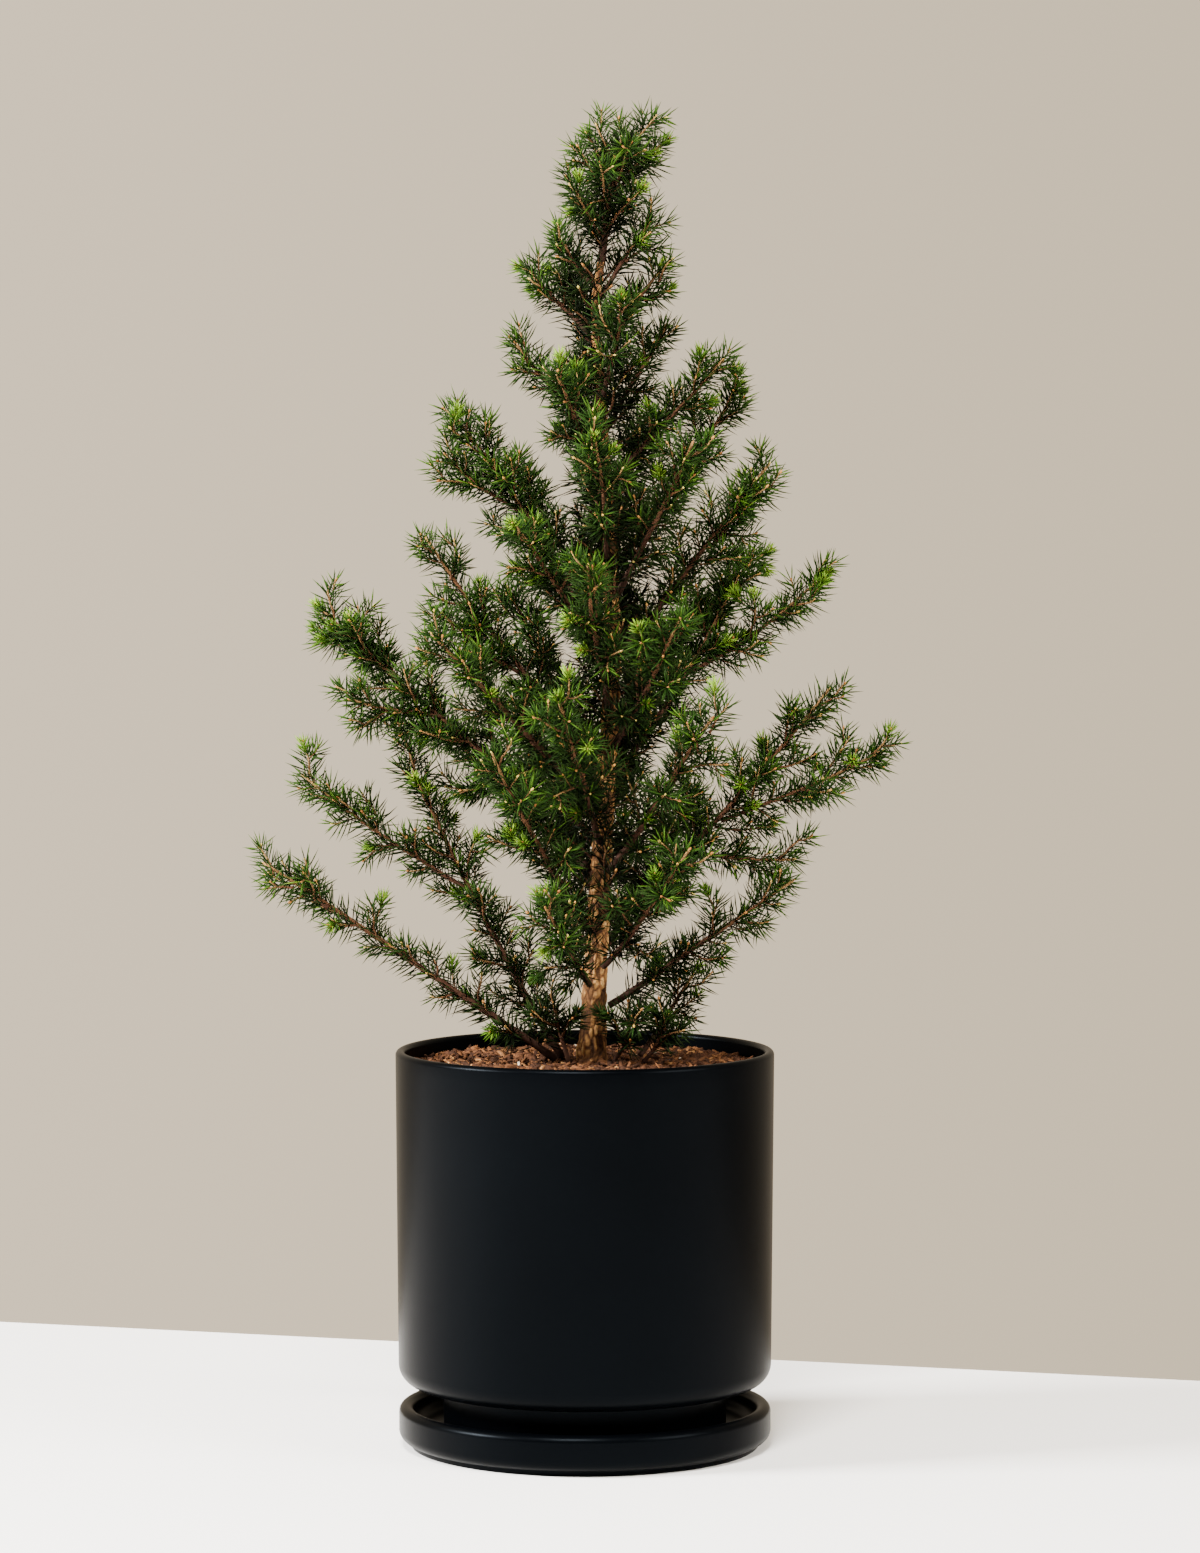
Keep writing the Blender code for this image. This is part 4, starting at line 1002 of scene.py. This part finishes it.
def build_saucer():
    lip = SAUCER_WALL / 2
    floor_top = SAUCER_FOOT_HEIGHT + SAUCER_FLOOR
    foot = SAUCER_FOOT_RADIUS
    inside = (SAUCER_RADIUS - SAUCER_WALL - SAUCER_EDGE, floor_top + SAUCER_EDGE)
    outline = [(SAUCER_RADIUS * 0.4, floor_top)]
    outline += arc(inside, SAUCER_EDGE, -90, 0, 12)
    outline += arc((SAUCER_RADIUS - lip, SAUCER_HEIGHT - lip), lip, 180, 0, 20)
    outline += arc((SAUCER_RADIUS - SAUCER_EDGE, SAUCER_FOOT_HEIGHT + SAUCER_EDGE), SAUCER_EDGE, 0, -75, 12)
    outline += [(foot + 0.3 * MM, SAUCER_FOOT_HEIGHT + 0.1 * MM), (foot, SAUCER_FOOT_HEIGHT * 0.7),
                (foot - GAP, 0.4 * MM), (foot - 2 * GAP, 0.0), (SAUCER_RADIUS * 0.4, 0.0)]
    dress(lathe("saucer_body", outline, False), MATERIALS["glaze"], "root", "glaze", "saucer")


def build_planter():
    lip = PLANTER_WALL / 2
    floor_top = PLANTER_BOTTOM + PLANTER_FLOOR
    foot_bottom = SAUCER_FOOT_HEIGHT + SAUCER_FLOOR + GAP
    foot_outer = PLANTER_FOOT_RADIUS
    foot_inner = foot_outer - PLANTER_FOOT_WIDTH
    inner_edge = PLANTER_EDGE - PLANTER_WALL
    inner_base = planter_inner_radius(floor_top)
    soft = 0.5 * MM
    outline = [(DRAIN_RADIUS + soft, floor_top)]
    outline += arc((inner_base - inner_edge, floor_top + inner_edge), inner_edge, -90, 0, 10)
    outline += arc((PLANTER_RIM_RADIUS - lip, RIM_HEIGHT - lip), lip, 180, 0, 20)
    top, base = outline[-1], (PLANTER_BASE_RADIUS, PLANTER_BOTTOM + PLANTER_EDGE)
    for i in range(1, WALL_STEPS):
        t = i / WALL_STEPS
        outline.append((top[0] + (base[0] - top[0]) * t, top[1] + (base[1] - top[1]) * t))
    outline += arc((base[0] - PLANTER_EDGE, base[1]), PLANTER_EDGE, 0, -90, 20)
    outline += [(foot_outer + soft, PLANTER_BOTTOM), (foot_outer, PLANTER_BOTTOM - soft),
                (foot_outer - GAP, foot_bottom + 2 * GAP), (foot_outer - 3 * GAP, foot_bottom),
                (foot_inner + 3 * GAP, foot_bottom), (foot_inner + GAP, foot_bottom + 2 * GAP),
                (foot_inner, PLANTER_BOTTOM), (DRAIN_RADIUS + soft, PLANTER_BOTTOM),
                (DRAIN_RADIUS, PLANTER_BOTTOM + soft), (DRAIN_RADIUS, floor_top - soft)]
    dress(lathe("planter_body", outline, True), MATERIALS["glaze"], "planter", "glaze", "planter")


def build_grower_pot():
    """The inner pot, with a rolled top edge, moulded bands and a stepped base."""
    base = liner_outer_radius(LINER_BOTTOM)
    outline = [(base * 0.5, LINER_BOTTOM + LINER_WALL), (base - LINER_WALL, LINER_BOTTOM + LINER_WALL),
               (liner_outer_radius(LINER_TOP) - LINER_WALL, LINER_TOP)]
    steps = 60
    for i in range(steps + 1):
        height = LINER_TOP + (LINER_BOTTOM - LINER_TOP) * i / steps
        band = 0.35 * MM * math.cos(i * 2.0 * math.pi / 5) if 4 < i < steps - 3 else 0.0
        rolled = 0.9 * MM if i in (1, 2, 3) else 0.0
        outline.append((liner_outer_radius(height) + rolled + band, height))
    outline += [(base - 1.0 * MM, LINER_BOTTOM), (base * 0.5, LINER_BOTTOM)]
    pot = lathe("grower_pot_body", outline, False)
    dress(pot, MATERIALS["plastic"], "tree", "grower_plastic", "grower_pot")


# ---------------------------------------------------------------- mulch

CHIPS = 4200
SMALL_CHIPS = 0.55              # share of the chips that are small
PALE_CHIPS = 0.022              # share of the small chips that are pale
MULCH_RINGS = 70


def mulch_height(x, y):
    """The lumpy surface under the chips."""
    distance = math.hypot(x, y)
    edge = planter_inner_radius(MULCH_BOTTOM) - MULCH_CLEARANCE
    crown = MULCH_CROWN * max(0.0, 1.0 - distance / edge)
    lumps = noise.fractal(Vector((x, y, 0.0)) * 90.0, 0.6, 2.2, 4) * 0.9 * MM
    return MULCH_TOP - 1.1 * MM + crown + lumps


def build_mulch():
    """A rough bed with loose chips of bark lying on it in all directions."""
    chance = np.random.default_rng(SEED + 100)
    edge = planter_inner_radius(MULCH_BOTTOM) - MULCH_CLEARANCE
    outline = [(edge * (i + 1) / MULCH_RINGS, MULCH_TOP) for i in range(MULCH_RINGS)]
    outline += [(edge, MULCH_BOTTOM), (edge * 0.5, MULCH_BOTTOM)]
    bed = lathe("mulch_bed", outline, False)
    for vertex in bed.data.vertices:
        if vertex.co.z > MULCH_TOP - 0.1 * MM:
            vertex.co.z = mulch_height(vertex.co.x, vertex.co.y)
    dress(bed, MATERIALS["bed"], "tree", "mulch", "mulch_topping")

    chips = Soup()
    box_corners = np.array(list(itertools.product((-1, 1), (-1, 1), (-1, 1))), float)
    box_faces = np.array([(0, 1, 3), (0, 3, 2), (4, 6, 7), (4, 7, 5), (0, 4, 5), (0, 5, 1),
                          (2, 3, 7), (2, 7, 6), (0, 2, 6), (0, 6, 4), (1, 5, 7), (1, 7, 3)])
    trunk = trunk_point(0.0)
    for _ in range(CHIPS):
        radius = edge * math.sqrt(chance.uniform()) * 0.985
        angle = chance.uniform(0.0, 2.0 * math.pi)
        spot = np.array((radius * math.cos(angle), radius * math.sin(angle), 0.0))
        if math.hypot(spot[0] - trunk.x, spot[1] - trunk.y) < trunk_radius(0.0) * 0.8:
            continue
        small = chance.uniform() < SMALL_CHIPS
        length = chance.uniform(0.8, 1.8) * MM if small else chance.uniform(1.6, 4.0) * MM
        half = np.array((length, length * chance.uniform(0.22, 0.6), chance.uniform(0.25, 0.6) * MM))
        half[0] = min(half[0], max(edge - radius, 0.8 * MM))
        corners = box_corners * half * chance.uniform(0.62, 1.12, (8, 3))
        turn = Matrix.Rotation(chance.uniform(0.0, FULL_TURN), 3, "Z")
        turn = turn @ Matrix.Rotation(chance.normal(0.0, 0.38), 3, "Y")
        turn = turn @ Matrix.Rotation(chance.normal(0.0, 0.45), 3, "X")
        corners = corners @ np.array(turn).T
        spot[2] = mulch_height(spot[0], spot[1]) + chance.uniform(0.1, 0.9) * MM
        shade = chance.beta(1.6, 2.2)
        pale = 1.0 if small and chance.uniform() < PALE_CHIPS else 0.0
        chips.add(corners + spot, box_faces, np.array((shade, chance.uniform(), pale, 1.0)))
    dress(chips.build("mulch_chips", smooth=False), MATERIALS["chips"], "tree", "mulch")


# ---------------------------------------------------------------- trunk

BARK_SIDES = 120
BARK_RINGS = 620
BARK_WARP_MM = 1.4              # how far the plates' outlines wander
PLATES_ACROSS = 420.0           # bark plates in a metre
PLATES_UP = 190.0


def build_trunk():
    """Bark in flaky, upright plates with dark seams, thicker and rougher towards the foot."""
    foot = below_mulch(BARK_FOOT)
    shares = np.linspace(foot, LEADER_START, BARK_RINGS)
    centres = np.array([tuple(trunk_point(share)) for share in shares])
    angles = np.arange(BARK_SIDES) * 2.0 * math.pi / BARK_SIDES
    verts = np.zeros((BARK_RINGS, BARK_SIDES, 3))
    tint = np.ones((BARK_RINGS, BARK_SIDES, 4))
    for i, share in enumerate(shares):
        radius = trunk_radius(share)
        depth = 0.14 * radius + 0.25 * MM
        for k, angle in enumerate(angles):
            out = Vector((math.cos(angle), math.sin(angle), 0.0))
            spot = Vector(centres[i]) + out * radius
            warp = noise.noise_vector(spot * 130.0) * BARK_WARP_MM * MM
            cell = Vector(((spot.x + warp.x) * PLATES_ACROSS, (spot.y + warp.y) * PLATES_ACROSS,
                           (spot.z + warp.z) * PLATES_UP))
            distances, points = noise.voronoi(cell)
            edge = min((distances[1] - distances[0]) * 2.2, 1.0)
            plate = noise.cell(points[0] * 7.3)
            lift = edge ** 0.5 * (0.55 + 0.45 * plate) + 0.18 * noise.noise(spot * 900.0)
            verts[i, k] = spot + out * (depth * (lift - 0.75))
            tint[i, k, :3] = (min(max(lift, 0.0), 1.0), plate, 0.0)
    k = np.arange(BARK_SIDES)[None]
    j = (k + 1) % BARK_SIDES
    i = np.arange(BARK_RINGS - 1)[:, None] * BARK_SIDES
    n = i + BARK_SIDES
    faces = np.concatenate([np.stack([i + k, i + j, n + j], -1).reshape(-1, 3),
                            np.stack([i + k, n + j, n + k], -1).reshape(-1, 3)])
    flat = verts.reshape(-1, 3)
    ends = len(flat) + np.arange(2)
    flat = np.concatenate([flat, centres[:1], centres[-1:]])
    k, j = k[0], j[0]
    last = (BARK_RINGS - 1) * BARK_SIDES
    faces = np.concatenate([faces, np.stack([np.full(BARK_SIDES, ends[0]), j, k], -1),
                            np.stack([np.full(BARK_SIDES, ends[1]), last + k, last + j], -1)])
    tint = np.concatenate([tint.reshape(-1, 4), np.ones((2, 4)) * 0.3])
    dress(mesh_object("trunk_bark_skin", flat, faces, tint), MATERIALS["bark"], "tree", "bark", "trunk_bark")


def build_trunk_sprigs():
    """Short shoots on the trunk between the boughs, which fill the heart of the tree, their old needles
    darkened further by painted shade.
    """
    chance = np.random.default_rng(SEED + 200)
    needles, wood = Soup(), Soup()
    turn = 0.0
    for k in range(TRUNK_SPRIGS):
        share = 0.115 + (LEADER_START - 0.13) * (k + chance.uniform()) / TRUNK_SPRIGS
        turn += 137.5 + chance.uniform(-25.0, 25.0)
        reach = chance.uniform(11.0, 20.0) * MM * (1.0 - 0.2 * share)
        out = heading(turn)
        foot = trunk_point(share) + out * trunk_radius(share) * 0.8
        rise = chance.uniform(0.35, 1.1)
        tip = foot + (out + Vector((0.0, 0.0, rise))).normalized() * reach
        path = wiggled(smooth_path([foot, tip], 8), chance, 0.6 * MM, 1.2 * MM)
        leafy_shoot(needles, wood, path, chance, (0.55 * MM, 0.38 * MM), (0.2, 0.8), (0.16, 0.42), start=0.1)
    dress_shoots("trunk_sprigs", needles, wood, "tree")


# ---------------------------------------------------------------- camera, light and table

CAMERA_SPOT = (0.0066, -2.1, 0.402)
CAMERA_PITCH_DEG = 3.0          # how far it looks down
CAMERA_LENS = 112.2             # in millimetres
TABLE_EDGE = ((-0.31, 0.325, 0.0), (0.287, 0.153, 0.0))   # two spots on the table's back edge
TABLE_BEYOND = 2.0              # how far the edge goes on past each of them
TABLE_DEPTH = 2.6
TABLE_THICKNESS = 0.03
TABLE_COLOUR = (0.965, 0.942, 0.91)
WALL_LEFT = (0.795, 0.665, 0.485)
WALL_RIGHT = (0.595, 0.488, 0.348)
WALL_STRENGTH = 1.5
FRONT_STRENGTH = 0.35
# name, spot, height of the spot on the axis that it points at, size, power, colour
LIGHTS = (
    ("key", (-0.30, -1.45, 2.05), 0.3, 0.7, 165.0, (1.0, 0.98, 0.95)),
    ("side", (-1.7, -0.45, 1.05), 0.2, 0.5, 185.0, (1.0, 1.0, 1.0)),
    ("fill", (1.6, -0.9, 1.1), 0.3, 0.9, 55.0, (1.0, 0.97, 0.92)),
)


def make_camera():
    """A long lens, a little above the planter's rim and nearly level."""
    data = bpy.data.cameras.new("camera")
    data.lens = CAMERA_LENS
    data.clip_end = 50.0
    camera = bpy.data.objects.new("camera", data)
    camera.location = CAMERA_SPOT
    camera.rotation_euler = (math.radians(90.0 - CAMERA_PITCH_DEG), 0.0, 0.0)
    bpy.context.scene.collection.objects.link(camera)
    bpy.context.scene.camera = camera


def area_light(name, spot, aim_height, size, power, colour):
    data = bpy.data.lights.new(name, "AREA")
    data.shape = "RECTANGLE"
    data.size = data.size_y = size
    data.energy = power
    data.color = colour
    lamp = bpy.data.objects.new(name, data)
    lamp.location = spot
    lamp.rotation_mode = "QUATERNION"
    lamp.rotation_quaternion = (Vector((0.0, 0.0, aim_height)) - Vector(spot)).to_track_quat("-Z", "Y")
    bpy.context.scene.collection.objects.link(lamp)


def make_table():
    """A pale table whose back edge crosses behind the planter."""
    left, right = Vector(TABLE_EDGE[0]), Vector(TABLE_EDGE[1])
    beyond = (right - left).normalized() * TABLE_BEYOND
    front = Vector((0.0, -TABLE_DEPTH, 0.0))
    left, right = left - beyond, right + beyond
    bm = bmesh.new()
    top = bm.faces.new([bm.verts.new(corner) for corner in (left, left + front, right + front, right)])
    slab = bmesh.ops.extrude_face_region(bm, geom=[top])
    moved = [item for item in slab["geom"] if isinstance(item, bmesh.types.BMVert)]
    bmesh.ops.translate(bm, verts=moved, vec=(0.0, 0.0, -TABLE_THICKNESS))
    bmesh.ops.recalc_face_normals(bm, faces=bm.faces)
    mesh = bpy.data.meshes.new("table")
    bm.to_mesh(mesh)
    bm.free()
    table = bpy.data.objects.new("table", mesh)
    bpy.context.scene.collection.objects.link(table)
    s = Shader("table_top")
    s.colour(s.ramp(s.noise(3.0, 2.0), ((0.3, TABLE_COLOUR), (0.7, TABLE_COLOUR))))
    s.set(Roughness=0.7)
    mesh.materials.append(s.material)


def make_surround():
    """A warm grey wall, lighter on the left, and a dim room in front of the tree."""
    world = bpy.data.worlds.new("surround")
    bpy.context.scene.world = world
    world.use_nodes = True
    nodes, links = world.node_tree.nodes, world.node_tree.links
    background = nodes["Background"]
    split = nodes.new("ShaderNodeSeparateXYZ")
    links.new(nodes.new("ShaderNodeTexCoord").outputs["Generated"], split.inputs["Vector"])

    def spread(axis, **ends):
        node = nodes.new("ShaderNodeMapRange")
        for name, value in ends.items():
            node.inputs[name.replace("_", " ")].default_value = value
        links.new(split.outputs[axis], node.inputs["Value"])
        return node.outputs["Result"]

    wash = nodes.new("ShaderNodeMix")
    wash.data_type = "RGBA"
    wash.inputs[6].default_value = (*WALL_LEFT, 1.0)
    wash.inputs[7].default_value = (*WALL_RIGHT, 1.0)
    links.new(spread("X", From_Min=-0.2, From_Max=0.2), wash.inputs[0])
    links.new(wash.outputs[2], background.inputs["Color"])
    strength = spread("Y", From_Min=-0.5, From_Max=0.5, To_Min=FRONT_STRENGTH, To_Max=WALL_STRENGTH)
    links.new(strength, background.inputs["Strength"])


make_camera()
MATERIALS = {
    "needles": needle_material(),
    "wood": wood_material(),
    "bark": bark_material(),
    "glaze": glaze_material(),
    "bed": bed_material(),
    "chips": chip_material(),
    "plastic": plain_material("grower_plastic", (0.010, 0.010, 0.010), (0.018, 0.018, 0.018), 60.0,
                              0.5, 0.7, 0.0002),
    "cement": plain_material("cement", (0.28, 0.265, 0.245), (0.42, 0.40, 0.37), 70.0, 0.8, 1.0, 0.0008),
    "foam": plain_material("foam", (0.028, 0.10, 0.035), (0.05, 0.16, 0.06), 400.0, 0.85, 1.0, 0.0008),
    "steel": plain_material("steel", (0.42, 0.42, 0.42), (0.6, 0.6, 0.6), 90.0, 0.25, 0.5, 0.0001,
                            metallic=1.0, stretch=(1.0, 1.0, 0.05)),
}
for node, key in (("cement_weight", "cement"), ("foam_packing", "foam"), ("trunk_rod", "steel")):
    part = frame["nodes"][node]
    part.data.materials.clear()
    part.data.materials.append(MATERIALS[key])

build_saucer()
build_planter()
build_grower_pot()
build_mulch()
build_trunk()
build_trunk_sprigs()

boughs, crown, tree_chance = grow_crown()
pivots = {joint["child"]: Vector(joint["pos_m"]) for joint in frame["joints"] if joint["type"] == "hinge"}
for bough in boughs:
    node = "bough_" + bough.name
    if (pivots[node] - bough.stem[0]).length > 0.1 * MM:
        raise RuntimeError(f"{node} isn't where its CAD solid is rooted")
    reach = path_length(bough.stem)
    root = min(STEM_RADIUS * (0.55 + 0.45 * reach / (100.0 * MM)), 0.82 * ROOT_BALL_RADIUS) * 1.1
    build_spray(node, node, bough.stem, bough.forks, bough.twigs, SEED + 1 + bough.index, root,
                bare_share(bough.stem), LEAF_DENSITY.get(bough.name, 1.0))

leader_line, leader_twigs = leader_shoots(crown, tree_chance)
build_spray("leader", "tree", leader_line, [], leader_twigs, SEED + 99, trunk_radius(LEADER_START), 0.0)
make_table()
make_surround()
for light in LIGHTS:
    area_light(*light)
